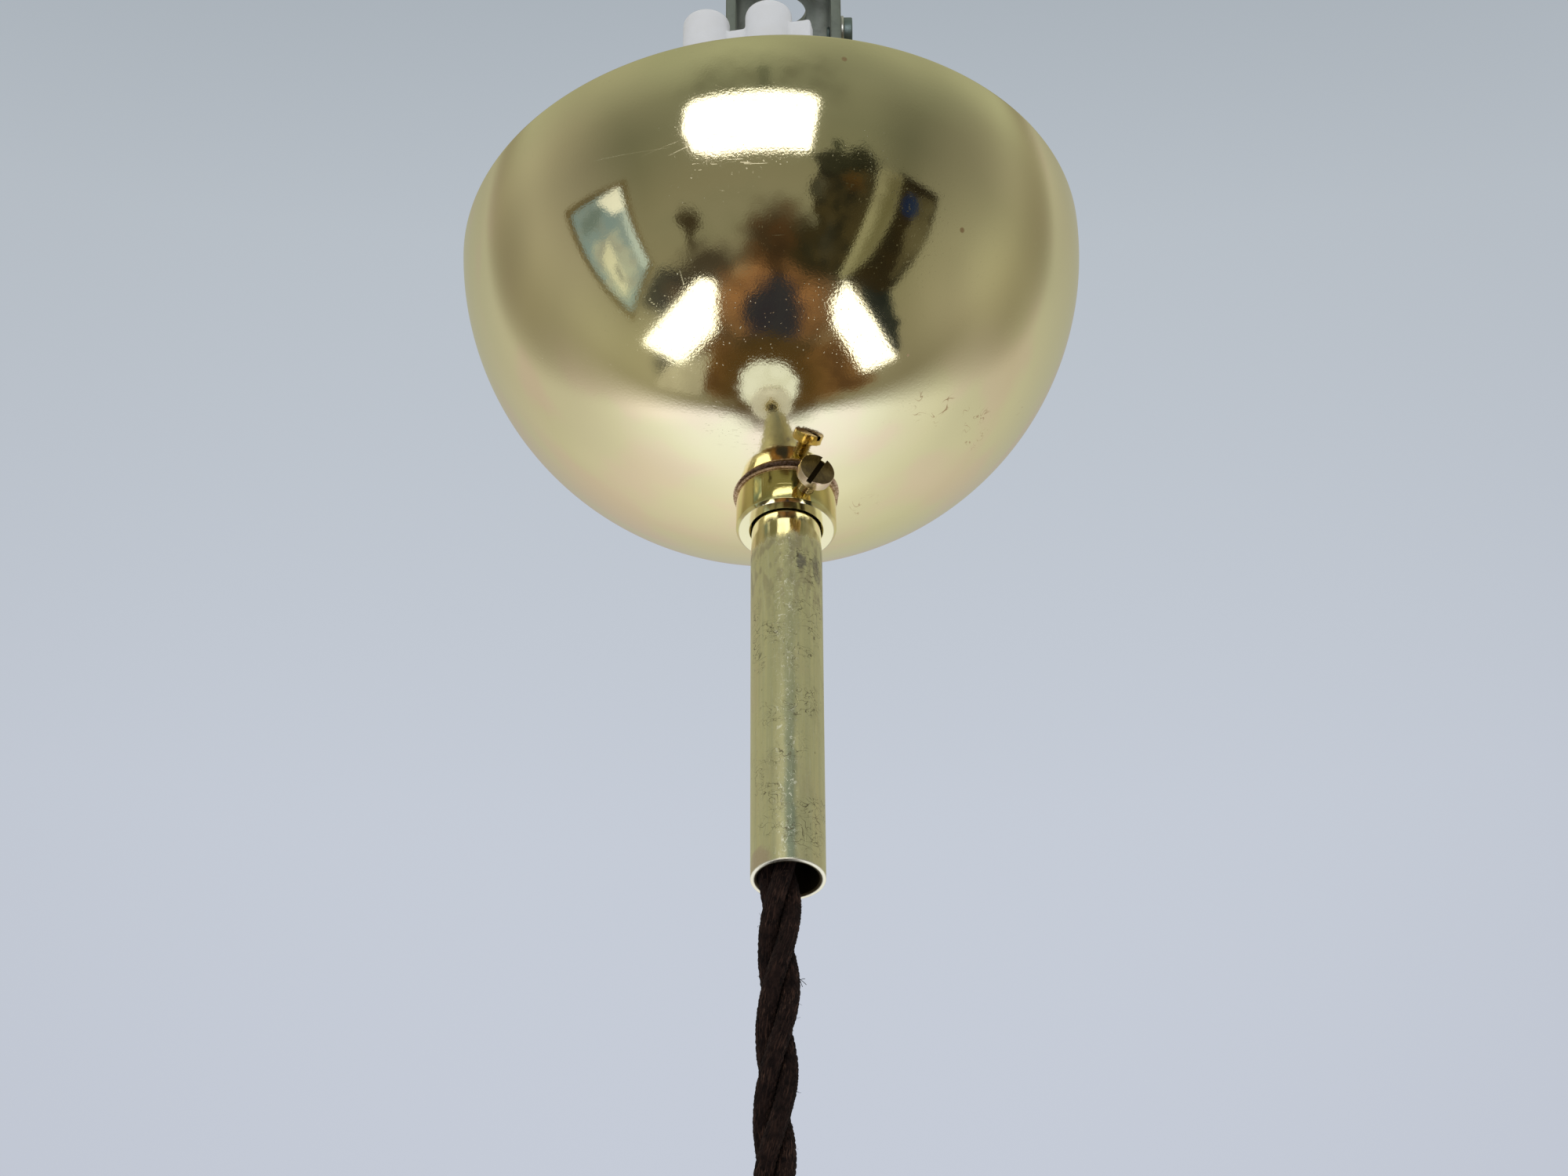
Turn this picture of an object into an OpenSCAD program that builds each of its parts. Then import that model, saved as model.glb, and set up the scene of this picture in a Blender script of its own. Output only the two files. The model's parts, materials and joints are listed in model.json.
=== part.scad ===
// Ceiling pendant light, with its canopy let down on the stem as for wiring.
// A stirrup hangs on the ceiling hook and carries a tube stem. A collar clamped on the stem
// carries the dome canopy, and a twisted cord leaves the stem and holds a porcelain lampholder.
// The origin is the centre of the hook hole. +Z is up, and the viewer stands on the -Y side.

/* [Hanger stirrup] */
// Width of the strap, front to back
strap_w = 14; // [10:0.5:16]
// Thickness of the strap
strap_t = 2; // [1.5:0.1:2.4]
// Outside width of the stirrup
stirrup_w = 21.5; // [21:0.5:26]
// Clear height inside the stirrup
stirrup_clear_h = 30; // [28:0.5:40]
// Outside radius of the stirrup's upper corners
crown_corner_r = 5; // [3.5:0.5:6]
// Outside radius of the stirrup's lower corners
base_corner_r = 3.2; // [3:0.1:3.4]
// Diameter of the hook hole
hook_hole_d = 8.5; // [5:0.5:9.5]

/* [Earth terminal] */
// Diameter of the earth screw's thread
earth_screw_d = 4; // [3:0.5:4]
// Diameter of the earth screw's head
earth_head_d = 7; // [6:0.5:8]
// Height of the earth screw's head
earth_head_h = 1.6; // [1.2:0.1:2.2]
// Distance of the earth screw below the hook hole
earth_drop = 7; // [6:0.5:9]
// Thickness of the earth tag's plate
tag_t = 0.6; // [0.4:0.1:1]
// Width of the ring round the tag's hole
tag_ring_w = 1.6; // [1.2:0.1:2]
// Wall of the tag's crimp barrel
tag_barrel_wall = 0.4; // [0.3:0.05:0.6]
// Length of the tag's crimp barrel
tag_barrel_l = 5.5; // [4:0.5:7]
// Angle of the tag below the horizontal
tag_angle = 35; // [30:1:45]

/* [Stem] */
// Outside diameter of the stem
stem_d = 12; // [11.5:0.1:12.6]
// Wall of the stem
stem_wall = 1; // [0.6:0.1:1.1]
// Length of the stem
stem_length = 171.5; // [150:0.5:220]
// Height of the stem's top over the stirrup's base
stem_stickup = 6; // [4:0.5:8]
// Bevel inside the stem's lower end
stem_bevel = 0.2; // [0.1:0.05:0.4]
// Size of the stem nut across its flats
nut_af = 17; // [15:0.5:19]
// Height of the stem nut
nut_h = 4; // [3:0.5:5]

/* [Cord clamp] */
// Gap between the cord clamp and the stirrup's legs
clamp_side_gap = 0.75; // [0.3:0.05:1]
// Height of the cord clamp over the stem's top
clamp_neck_h = 6; // [5:0.5:7]
// Diameter of the grub screws
grub_d = 4; // [3:0.5:4]
// Bevel round the cord clamp's edges
clamp_bevel = 0.6; // [0.3:0.1:1]

/* [Collar and canopy] */
// Wall of the collar
collar_wall = 2.3; // [2:0.1:3]
// Height of the collar
collar_h = 6.6; // [6:0.1:9]
// Rounding of the collar's lower edge
collar_round = 0.5; // [0.3:0.1:0.8]
// Height of the collar's underside over the stem's lower end
collar_above_end = 70.2; // [10:0.1:90]
// Thickness of the seat washer
washer_t = 0.6; // [0.4:0.1:1]
// How far the seat washer stands out past the collar
washer_overhang = 0.5; // [0.2:0.1:1.5]
// Outside diameter of the canopy
canopy_d = 110; // [90:1:140]
// Straight height of the canopy's side over the half ball
canopy_side_h = 0.5; // [0.2:0.1:10]
// Thickness of the canopy's sheet
canopy_t = 0.8; // [0.6:0.1:1.2]
// Gap between the stem and the edge of the canopy's hole
canopy_hole_gap = 0.5; // [0.4:0.1:0.8]
// Lean of the canopy on its washer
canopy_lean = 2.5; // [0:0.1:3]

/* [Clamp screw] */
// Diameter of the clamp screw's thread
screw_d = 3; // [2.5:0.1:3]
// Diameter of the clamp screw's head
screw_head_d = 5.5; // [5:0.1:6]
// Height of the clamp screw's head
screw_head_h = 2; // [1.6:0.1:2.4]
// Width of the screwdriver slot
slot_w = 0.9; // [0.5:0.1:1.2]
// Depth of the screwdriver slot
slot_depth = 0.9; // [0.5:0.1:1.1]
// Gap between the collar and the head, as the screw stands
screw_stand_off = 3.1; // [2.5:0.1:6]
// Direction of the clamp screw, from the front towards the right
screw_azimuth = 23; // [0:1:60]
// Turn of the slot from the vertical
slot_turn = 27; // [0:1:90]

/* [Terminal block] */
// Distance between the two poles
block_pitch = 11.6; // [10.5:0.1:12.4]
// Outside diameter of a pole's barrel
barrel_d = 8.6; // [8:0.1:8.8]
// Length of a pole's barrel
barrel_l = 19; // [18:0.5:21]
// Thickness of the web between the poles
web_t = 3; // [2:0.1:4]
// Height of the web between the poles
web_h = 11; // [8:0.5:13]
// Length of the web stub past the right pole
end_web_l = 3.7; // [2:0.1:5]
// Diameter of a screw tower
tower_d = 6.6; // [6:0.1:7.5]
// Reach of a screw tower from its barrel's axis
tower_reach = 7; // [6.6:0.1:7.4]
// Bore of a terminal sleeve
sleeve_bore_d = 4.4; // [4:0.1:4.6]
// Wall of a terminal sleeve
sleeve_wall = 0.6; // [0.4:0.1:0.7]
// Length of a terminal sleeve
sleeve_l = 15; // [14:0.5:16]
// Thickness of the stop in the middle of a sleeve
sleeve_stop = 1; // [0.5:0.1:2]
// Diameter of a terminal screw
terminal_screw_d = 2.5; // [2:0.1:2.6]
// Length of a terminal screw
terminal_screw_l = 5.5; // [5:0.1:5.8]
// Block's centre, to the right of the stem
block_x = -8.4; // [-10:0.1:-8.2]
// Block's centre, in front of the stem when negative
block_y = -15.35; // [-17:0.05:-15.3]
// Height of the block's centre over the stirrup's base
block_over_base = 3.1; // [2.5:0.1:5]
// Turn of the block about the vertical, which brings its right end forward
block_turn = -11; // [-14:1:-8]

/* [Cord] */
// Diameter of the twisted cord
cord_d = 7; // [6.2:0.1:7]
// Diameter of one core with its braid
lead_d = 3.2; // [2.8:0.1:3.2]
// Diameter of a core without its braid
core_d = 2.4; // [2:0.1:2.6]
// Diameter of a bare end
bare_d = 1.4; // [1:0.1:1.6]
// Length of a bare end
bare_l = 7; // [5:0.5:8]

/* [Lampholder grip] */
// Height of the grip over the cap
grip_h = 12; // [10:0.5:16]
// Wall of the grip
grip_wall = 3.3; // [2.8:0.1:4]
// Rounding of the grip's top edge
grip_round = 1.6; // [0.8:0.1:2.4]
// Wall of the grip's threaded end
spigot_wall = 1.25; // [1:0.05:1.6]
// Thickness of the threaded plate inside the cap
plate_t = 3; // [2.5:0.1:3.5]
// Width of that plate round the threaded end
plate_margin = 4.7; // [4.6:0.1:6]

/* [Porcelain cap] */
// Outside diameter of the cap
cap_d = 48; // [46:0.5:54]
// Height of the cap under its boss
cap_h = 35; // [34:0.5:40]
// Radius of the cap's dome
cap_dome_r = 18; // [17:0.5:19]
// Thickness of the cap's wall at its mouth
cap_wall = 4; // [3.5:0.1:4.5]
// Thickness of the cap's top
cap_top_t = 4.5; // [4:0.1:5]
// Width of the ledge that the insert bears against
cap_ledge = 1.5; // [1:0.1:2]
// Height of the boss on the cap's top
boss_h = 1.5; // [1:0.1:2.5]
// Width of the boss round the grip
boss_margin = 2; // [1.5:0.1:3]

/* [Porcelain skirt and rings] */
// Length of the skirt's thread inside the cap
thread_engaged = 10; // [9:0.5:12]
// Length of the skirt below the cap
skirt_drop = 28; // [27:0.5:40]
// Wall of the skirt
skirt_wall = 3.9; // [3:0.1:4.4]
// Height of the plain guide at the skirt's lower end
guide_h = 11; // [8:0.5:11]
// Step in from the thread to the guide
guide_step = 0.3; // [0.2:0.05:0.6]
// Bevel on the skirt's lower edge
skirt_bevel = 1; // [0.5:0.1:1.5]
// Height of a shade ring
ring_h = 4.5; // [4:0.5:6]
// Width of a shade ring
ring_w = 5.5; // [5:0.5:9]
// Gap between the cap and the upper ring
upper_ring_gap = 1.5; // [1.2:0.1:2]
// Gap between the rings
ring_gap = 2; // [1.6:0.1:2.2]
// Number of finger notches in a ring
ring_notches = 24; // [16:4:32]
// Radius of a finger notch
notch_r = 0.9; // [0.5:0.1:1.2]

/* [Lampholder insert] */
// Thickness of the insert
insert_t = 4; // [3.5:0.1:4.5]
// Bore of the lamp shell over its thread
shell_d = 26.5; // [26:0.1:27]
// Length of the lamp shell's threaded part
shell_l = 19.5; // [18:0.5:22]
// Thickness of the lamp shell
shell_t = 0.35; // [0.3:0.05:0.5]
// Step in from the threaded part to the shell's neck
neck_step = 1.75; // [1.4:0.05:2]
// Length of the shell's neck
neck_l = 4.5; // [4:0.1:6]
// Width of the lip at the shell's top
shell_lip = 1.4; // [1.1:0.1:1.4]
// Distance of a terminal from the insert's middle
terminal_x = 8.5; // [8.3:0.1:8.9]
// Width of a terminal
terminal_w = 6; // [5:0.1:6]
// Depth of a terminal, front to back
terminal_deep = 9; // [7:0.5:10]
// Height of a terminal
terminal_h = 6; // [5.5:0.1:6.2]
// Thickness of the contact strips
strip_t = 0.5; // [0.4:0.1:0.8]
// Diameter of the rivets
rivet_d = 2.4; // [2:0.1:2.6]
// Diameter of the centre contact
contact_d = 5.8; // [5:0.1:6]
// How far the centre contact stands out of the insert
contact_reach = 3.5; // [3:0.1:3.8]
// Thickness of the centre contact's collar
contact_collar_t = 0.8; // [0.6:0.1:1]
// Width of the centre contact's collar
contact_collar_w = 1.1; // [0.9:0.1:1.3]
// Thickness of the insert under that collar
contact_seat_t = 1.7; // [1.4:0.1:2]
// Diameter of the long insert screws
long_screw_d = 3; // [2.5:0.1:3]
// Distance of a long screw from the insert's middle
long_screw_r = 7.3; // [7.2:0.1:7.3]
// Direction of the long screws
long_screw_turn = 115; // [110:1:120]

/* [Fits] */
// Gap round a piece that is screwed or pressed in
fixed_gap = 0.05; // [0.02:0.01:0.08]
// Gap round a piece that slides or hangs loose
slide_gap = 0.2; // [0.1:0.02:0.3]
// Gap between faces that turn or slide past each other
face_gap = 0.05; // [0.03:0.01:0.1]
// Gap between the canopy's hole and its washer at the low side
seat_gap = 0.15; // [0.1:0.01:0.3]

/* [Hidden] */
$fn = 96;
// A length that runs a cut clear of the faces it opens
past = 1;

// Heights on the stem's axis
base_top_z = -strap_t / 2 - stirrup_clear_h;
base_under_z = base_top_z - strap_t;
stem_top_z = base_top_z + stem_stickup;
stem_end_z = stem_top_z - stem_length;
clamp_top_z = stem_top_z + clamp_neck_h;
collar_under_z = stem_end_z + collar_above_end;
collar_top_z = collar_under_z + collar_h;
washer_top_z = collar_top_z + face_gap + washer_t;

// Radii on the stem's axis
stem_r = stem_d / 2;
cord_r = cord_d / 2;
cord_bore_r = cord_r + slide_gap;
clamp_r = stirrup_w / 2 - strap_t - clamp_side_gap;
collar_bore_r = stem_r + slide_gap;
collar_r = collar_bore_r + collar_wall;
washer_bore_r = collar_bore_r + fixed_gap;
washer_r = collar_r + washer_overhang;
canopy_r = canopy_d / 2;
canopy_hole_r = stem_r + canopy_hole_gap;
// Height of the hole's edge over the point where the whole ball would end
canopy_sag = canopy_r - sqrt(canopy_r * canopy_r - canopy_hole_r * canopy_hole_r);
canopy_pivot_z = washer_top_z + canopy_hole_r * sin(canopy_lean) + seat_gap;
screw_z = (collar_under_z + collar_top_z) / 2;

// The earth tag lies on the outer face of the right leg
leg_face_x = stirrup_w / 2;
tag_hole_r = earth_screw_d / 2 + slide_gap;
tag_ring_r = tag_hole_r + tag_ring_w;
tag_barrel_bore_r = lead_d / 2 + fixed_gap;
tag_barrel_r = tag_barrel_bore_r + tag_barrel_wall;
tag_barrel_start = earth_head_d / 2 + past;
tag_barrel_end = tag_barrel_start + tag_barrel_l;
tag_lead_end = tag_barrel_end - 2;
tag_axis_x = leg_face_x + tag_t / 2 + tag_barrel_r;
function tag_point(along) =
    [tag_axis_x, along * cos(tag_angle), -earth_drop - along * sin(tag_angle)];

// The terminal block's two poles, left and right
block_z = base_top_z + block_over_base;
sleeve_bore_r = sleeve_bore_d / 2;
sleeve_r = sleeve_bore_r + sleeve_wall;
tower_z = sleeve_l / 4;
function pole_at(side) = [
    block_x + side * block_pitch / 2 * cos(block_turn),
    block_y + side * block_pitch / 2 * sin(block_turn),
    block_z];
// A lead ends inside its pole, under the sleeve
lead_entry_z = -sleeve_l / 2 - face_gap;

// The cord's three cores lie round its middle
core_ring_r = lead_d / sqrt(3);
function core_at(angle) = [core_ring_r * cos(angle), core_ring_r * sin(angle), 0];
live_angle = 90;
neutral_angle = 210;
earth_angle = -30;

// Route of the free cord, from the middle of the stem's mouth. It leans on the mouth's left edge.
cord_route = [
    [-1.3, 0, 0], [-1.3, 0, -4], [-1.4, 0, -8], [-1.4, 0, -12], [-1.5, 0, -16], [-1.6, 0, -20],
    [-1.7, 0, -24], [-1.8, 0, -28], [-1.9, 0, -32], [-2, 0, -36], [-2.1, 0, -40],
    [-2.2, 0, -44], [-2.3, 0, -48], [-2.4, 0, -52], [-2.4, 0, -56], [-2.4, 0, -60]];

// Routes of the three leads, from the middle of the cord clamp's top. Each goes on to its terminal.
live_route = [
    [0, 2.2, 2.5], [0.3, 5, 4.4], [1.2, 8.8, 3.2], [4.5, 13, -2], [11, 12.5, -8],
    [16, 6, -13], [15.8, -5, -19], [10.8, -13.5, -23.5], [4, -17.6, -26], [-1.4, -17.2, -24.4]];
neutral_route = [
    [-1.9, -0.9, 3], [-3.4, 1.8, 6], [-4.8, 7, 5.2], [-8.5, 11, 1], [-14, 9.5, -6],
    [-18.5, 3.5, -13], [-20.3, -4.5, -19.5], [-18.9, -11.5, -24.2], [-15.2, -14.1, -23.4]];
earth_route = [
    [1.9, -0.9, 3], [3.4, 1.8, 6], [5, 8, 5.4], [7.2, 13, 3.2], [11, 15.2, 2.2]];

// The lampholder hangs on the cord's end, and its own heights count from the grip's top
holder_at = [0, 0, stem_end_z] + cord_route[len(cord_route) - 1];
grip_r = cord_bore_r + grip_wall;
spigot_r = cord_bore_r + spigot_wall;
boss_z = -grip_h;
cap_top_z = boss_z - boss_h;
ceiling_z = cap_top_z - cap_top_t;
plate_under_z = ceiling_z - plate_t;
plate_r = spigot_r + plate_margin;
plate_screw_r = spigot_r + plate_margin / 2;
plate_screw_at = [plate_screw_r * cos(68), plate_screw_r * sin(68)];
cap_r = cap_d / 2;
cap_bore_r = cap_r - cap_wall;
cap_mouth_z = cap_top_z - cap_h;
skirt_top_z = cap_mouth_z + thread_engaged;
insert_under_z = skirt_top_z + face_gap;
insert_top_z = insert_under_z + insert_t;
hollow_r = cap_bore_r - cap_ledge;
// The hollow's round upper corner starts beside the plate
cap_hollow_r = hollow_r - plate_r - slide_gap;
skirt_r = cap_bore_r - 2 * fixed_gap;
skirt_bore_r = skirt_r - skirt_wall;
skirt_end_z = cap_mouth_z - skirt_drop;
guide_z = skirt_end_z + guide_h;
ring_bore_r = skirt_r + slide_gap;
ring_r = ring_bore_r + ring_w;
upper_ring_z = cap_mouth_z - upper_ring_gap - ring_h;
lower_ring_z = upper_ring_z - ring_gap - ring_h;
insert_r = cap_bore_r - slide_gap;

// Inside the lampholder
shell_r = shell_d / 2;
neck_r = shell_r - neck_step;
neck_end_z = insert_under_z - neck_l;
shell_end_z = neck_end_z - shell_t - shell_l;
strip_top_z = insert_top_z + strip_t;
terminal_top_z = strip_top_z + terminal_h;
wire_hole_x = terminal_x - 0.5;
wire_hole_r = 0.8;
wire_hole_deep = 4.5;
contact_r = contact_d / 2;
contact_bore_r = contact_r + face_gap;
contact_collar_r = contact_r + contact_collar_w;
contact_well_r = contact_collar_r + slide_gap;
contact_seat_z = insert_under_z + contact_seat_t;
contact_collar_z = contact_seat_z + face_gap;
contact_tip_z = insert_under_z - contact_reach;
spring_z = contact_collar_z + contact_collar_t;
head_gap = 0.8;
// Distance from the plate's screw to the end of the earth core's braid
eye_reach = screw_head_d / 2 + 0.9;

// A round solid on the Z axis, from one height to another
module rod(r, z0, z1) {
    translate([0, 0, z0]) cylinder(r = r, h = z1 - z0);
}

// A tube on the Z axis
module tube(r_out, r_in, z0, z1) {
    difference() {
        rod(r_out, z0, z1);
        rod(r_in, z0 - past, z1 + past);
    }
}

// An upright rectangle under the origin, with one radius at its upper corners and one at its lower
module strap_shape(w, h, upper_r, lower_r) {
    translate([-w / 2, lower_r - h]) square([w, h - upper_r - lower_r]);
    translate([upper_r - w / 2, -h / 2]) square([w - 2 * upper_r, h / 2]);
    translate([lower_r - w / 2, -h]) square([w - 2 * lower_r, h / 2]);
    for (side = [-1, 1]) {
        translate([side * (w / 2 - upper_r), -upper_r]) circle(r = upper_r);
        translate([side * (w / 2 - lower_r), lower_r - h]) circle(r = lower_r);
    }
}

// A slotted cheese-head screw along +Z, with the underside of its head at the origin
module slotted_screw(thread_d, thread_l, head_d, head_h, slot_angle) {
    difference() {
        union() {
            rod(thread_d / 2, -thread_l, 0);
            rod(head_d / 2, 0, head_h);
        }
        rotate([0, 0, slot_angle])
            translate([-head_d, -slot_w / 2, head_h - slot_depth])
                cube([2 * head_d, slot_w, slot_depth + past]);
    }
}

// A headless slotted screw along +Z, with its tip at the origin
module grub_screw(d, l) {
    difference() {
        rod(d / 2, 0, l);
        translate([-d, -slot_w / 2, l - slot_depth]) cube([2 * d, slot_w, slot_depth + past]);
    }
}

function unit(v) = v / norm(v);
function direction(p, i) = unit(p[min(i + 1, len(p) - 1)] - p[max(i - 1, 0)]);
// Side vectors that follow the route without twisting
function sides_along(p, i, side) =
    let (t = direction(p, i), s = unit(side - (side * t) * t))
    i == len(p) - 1 ? [s] : concat([s], sides_along(p, i + 1, s));
// A smooth curve through the points of a route
function curve_point(a, b, c, d, t) = 0.5 * (2 * b + (c - a) * t
    + (2 * a - 5 * b + 4 * c - d) * t * t + (3 * b - a - 3 * c + d) * t * t * t);
function smooth(p, steps) = concat(
    [for (i = [0 : len(p) - 2], k = [0 : steps - 1])
        curve_point(p[max(i - 1, 0)], p[i], p[i + 1], p[min(i + 2, len(p) - 1)], k / steps)],
    [p[len(p) - 1]]);

// A closed tube swept along points
module sweep(p, r, n) {
    s = sides_along(p, 0, [0.3, 1, 0.1]);
    rings = [for (i = [0 : len(p) - 1], k = [0 : n - 1])
        let (u = s[i], v = cross(direction(p, i), u), a = 360 * k / n)
        p[i] + r * (cos(a) * u + sin(a) * v)];
    walls = [for (i = [0 : len(p) - 2], k = [0 : n - 1])
        let (a = i * n + k, b = i * n + (k + 1) % n)
        each [[a, a + n, b], [b, a + n, b + n]]];
    first = [for (k = [0 : n - 1]) k];
    last = [for (k = [n - 1 : -1 : 0]) (len(p) - 1) * n + k];
    polyhedron(points = rings, faces = concat(walls, [first, last]));
}

// Bent steel strap with a flat crown and base
module hanger_stirrup() {
    color("slategray")
        difference() {
            translate([0, strap_w / 2, strap_t / 2])
                rotate([90, 0, 0])
                    linear_extrude(strap_w)
                        difference() {
                            strap_shape(stirrup_w, stirrup_clear_h + 2 * strap_t, crown_corner_r,
                                base_corner_r);
                            translate([0, -strap_t])
                                strap_shape(stirrup_w - 2 * strap_t, stirrup_clear_h,
                                    crown_corner_r - strap_t, base_corner_r - strap_t);
                        }
            rod(hook_hole_d / 2, -strap_t / 2 - past, strap_t / 2 + past);
            rod(stem_r + fixed_gap, base_under_z - past, base_top_z + past);
            translate([leg_face_x, 0, -earth_drop])
                rotate([0, 90, 0])
                    rod(earth_screw_d / 2 + fixed_gap, -strap_t - past, past);
        }
}

module earth_screw() {
    color("darkslategray")
        translate([leg_face_x + tag_t, 0, -earth_drop])
            rotate([0, 90, 0])
                slotted_screw(earth_screw_d, strap_t + tag_t + 0.6, earth_head_d, earth_head_h, 20);
}

// Ring on the leg's face, a tongue and a crimp barrel that takes the earth lead
module earth_tag() {
    color("darkgray")
        difference() {
            union() {
                translate([leg_face_x, 0, -earth_drop])
                    rotate([0, 90, 0]) rod(tag_ring_r, 0, tag_t);
                translate([leg_face_x, 0, -earth_drop])
                    rotate([-tag_angle, 0, 0])
                        translate([0, 0, -lead_d / 2]) cube([tag_t, tag_barrel_end, lead_d]);
                translate(tag_point(tag_barrel_start))
                    rotate([-90 - tag_angle, 0, 0]) rod(tag_barrel_r, 0, tag_barrel_l);
            }
            translate(tag_point(tag_barrel_start))
                rotate([-90 - tag_angle, 0, 0])
                    rod(tag_barrel_bore_r, tag_t, tag_barrel_l + past);
            translate([leg_face_x, 0, -earth_drop])
                rotate([0, 90, 0]) rod(tag_hole_r, -past, tag_t + past);
        }
}

// Brass tube, with a small bevel inside its lower end
module stem() {
    bore_r = stem_r - stem_wall;
    color("darkkhaki")
        rotate_extrude()
            polygon([
                [bore_r, stem_top_z], [stem_r, stem_top_z], [stem_r, stem_end_z],
                [bore_r + stem_bevel, stem_end_z], [bore_r, stem_end_z + stem_bevel]]);
}

module stem_nut() {
    color("goldenrod")
        translate([0, 0, base_under_z - nut_h])
            difference() {
                cylinder(r = nut_af / 2 / cos(30), h = nut_h, $fn = 6);
                translate([0, 0, -past]) cylinder(r = stem_r + fixed_gap, h = nut_h + 2 * past);
            }
}

// Round brass nut on the stem's top, with a narrower bore that two screws cross to hold the cord
module cord_clamp() {
    stem_bore_r = stem_r + fixed_gap;
    mouth_r = cord_bore_r + clamp_bevel;
    color("goldenrod")
        difference() {
            rotate_extrude()
                polygon([
                    [stem_bore_r, base_top_z], [clamp_r - clamp_bevel, base_top_z],
                    [clamp_r, base_top_z + clamp_bevel], [clamp_r, clamp_top_z - clamp_bevel],
                    [clamp_r - clamp_bevel, clamp_top_z], [mouth_r, clamp_top_z],
                    [cord_bore_r, clamp_top_z - clamp_bevel], [cord_bore_r, stem_top_z],
                    [stem_bore_r, stem_top_z]]);
            translate([0, 0, (stem_top_z + clamp_top_z) / 2])
                rotate([90, 0, 0]) rod(grub_d / 2 + fixed_gap, -clamp_r - past, clamp_r + past);
        }
}

module cord_clamp_screws() {
    color("darkgoldenrod")
        for (side = [0, 180])
            translate([0, 0, (stem_top_z + clamp_top_z) / 2])
                rotate([90, 0, side])
                    translate([0, 0, cord_r + face_gap])
                        grub_screw(grub_d, clamp_r - cord_r - face_gap - 0.3);
}

// Turned ring with a rounded lower edge and one threaded hole for the clamp screw
module collar() {
    color("gold")
        difference() {
            translate([0, 0, collar_under_z])
                rotate_extrude()
                    difference() {
                        union() {
                            translate([collar_bore_r, 0])
                                square([collar_wall - collar_round, collar_h]);
                            translate([collar_bore_r, collar_round])
                                square([collar_wall, collar_h - collar_round]);
                            translate([collar_r - collar_round, collar_round])
                                circle(r = collar_round);
                        }
                        translate([collar_bore_r - past, -past]) square([past, collar_h + 2 * past]);
                    }
            translate([0, 0, screw_z])
                rotate([90, 0, screw_azimuth])
                    rod(screw_d / 2 + fixed_gap, 0, collar_r + past);
        }
}

// Radial screw whose tip meets the stem
module clamp_screw() {
    head_at = collar_r + screw_stand_off;
    color("peru")
        translate([0, 0, screw_z])
            rotate([90, 0, screw_azimuth])
                translate([0, 0, head_at])
                    slotted_screw(screw_d, head_at - stem_r - face_gap, screw_head_d,
                        screw_head_h, 90 - slot_turn);
}

module seat_washer() {
    color("khaki") tube(washer_r, washer_bore_r, washer_top_z - washer_t, washer_top_z);
}

// Section of the dome: a quarter ring and a short straight side, open at the stem's hole
module canopy_section() {
    inner_r = canopy_r - canopy_t;
    difference() {
        union() {
            intersection() {
                translate([0, canopy_r]) circle(r = canopy_r, $fn = 240);
                square([canopy_r, canopy_r]);
            }
            translate([0, canopy_r]) square([canopy_r, canopy_side_h]);
        }
        translate([0, canopy_r]) circle(r = inner_r, $fn = 240);
        translate([0, canopy_r]) square([inner_r, canopy_side_h + past]);
        square([canopy_hole_r, canopy_r]);
    }
}

// Spun brass dome with its bowl up, leaning on the washer
module canopy() {
    color("palegoldenrod")
        translate([0, 0, canopy_pivot_z])
            rotate([0, -canopy_lean, 0])
                translate([0, 0, -canopy_sag])
                    rotate_extrude($fn = 180) canopy_section();
}

// Puts its children at a pole of the terminal block, with the screw towers along +Y
module at_pole(side) {
    translate(pole_at(side)) rotate([0, 0, block_turn]) children();
}

// White block: two barrels, four screw towers and the webs that join them
module terminal_block() {
    color("white")
        difference() {
            union() {
                for (side = [-1, 1]) at_pole(side) {
                    rod(barrel_d / 2, -barrel_l / 2, barrel_l / 2);
                    for (z = [-tower_z, tower_z])
                        translate([0, 0, z]) rotate([-90, 0, 0]) rod(tower_d / 2, 0, tower_reach);
                }
                at_pole(-1)
                    translate([0, -web_t / 2, -web_h / 2])
                        cube([block_pitch + barrel_d / 2 + end_web_l, web_t, web_h]);
            }
            for (side = [-1, 1]) at_pole(side) {
                rod(sleeve_r + fixed_gap, -barrel_l / 2 - past, barrel_l / 2 + past);
                for (z = [-tower_z, tower_z])
                    translate([0, 0, z]) rotate([-90, 0, 0])
                        rod(terminal_screw_d / 2 + slide_gap, 0, tower_reach + past);
            }
        }
}

// Brass sleeves with a stop in the middle and two threaded holes each
module terminal_sleeves() {
    color("darkgoldenrod")
        for (side = [-1, 1]) at_pole(side)
            difference() {
                rod(sleeve_r, -sleeve_l / 2, sleeve_l / 2);
                rod(sleeve_bore_r, sleeve_stop / 2, sleeve_l / 2 + past);
                rod(sleeve_bore_r, -sleeve_l / 2 - past, -sleeve_stop / 2);
                for (z = [-tower_z, tower_z])
                    translate([0, 0, z]) rotate([-90, 0, 0])
                        rod(terminal_screw_d / 2 + fixed_gap, 0, sleeve_r + past);
            }
}

// The lower screws bear on the lamp's bare ends, and the upper ones stand open for the supply
module terminal_screws() {
    color("tan")
        for (side = [-1, 1]) at_pole(side) {
            translate([0, bare_d / 2 + face_gap, -tower_z])
                rotate([-90, 0, 0]) grub_screw(terminal_screw_d, terminal_screw_l);
            translate([0, sleeve_bore_r + slide_gap, tower_z])
                rotate([-90, 0, 0]) grub_screw(terminal_screw_d, terminal_screw_l);
        }
}

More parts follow.
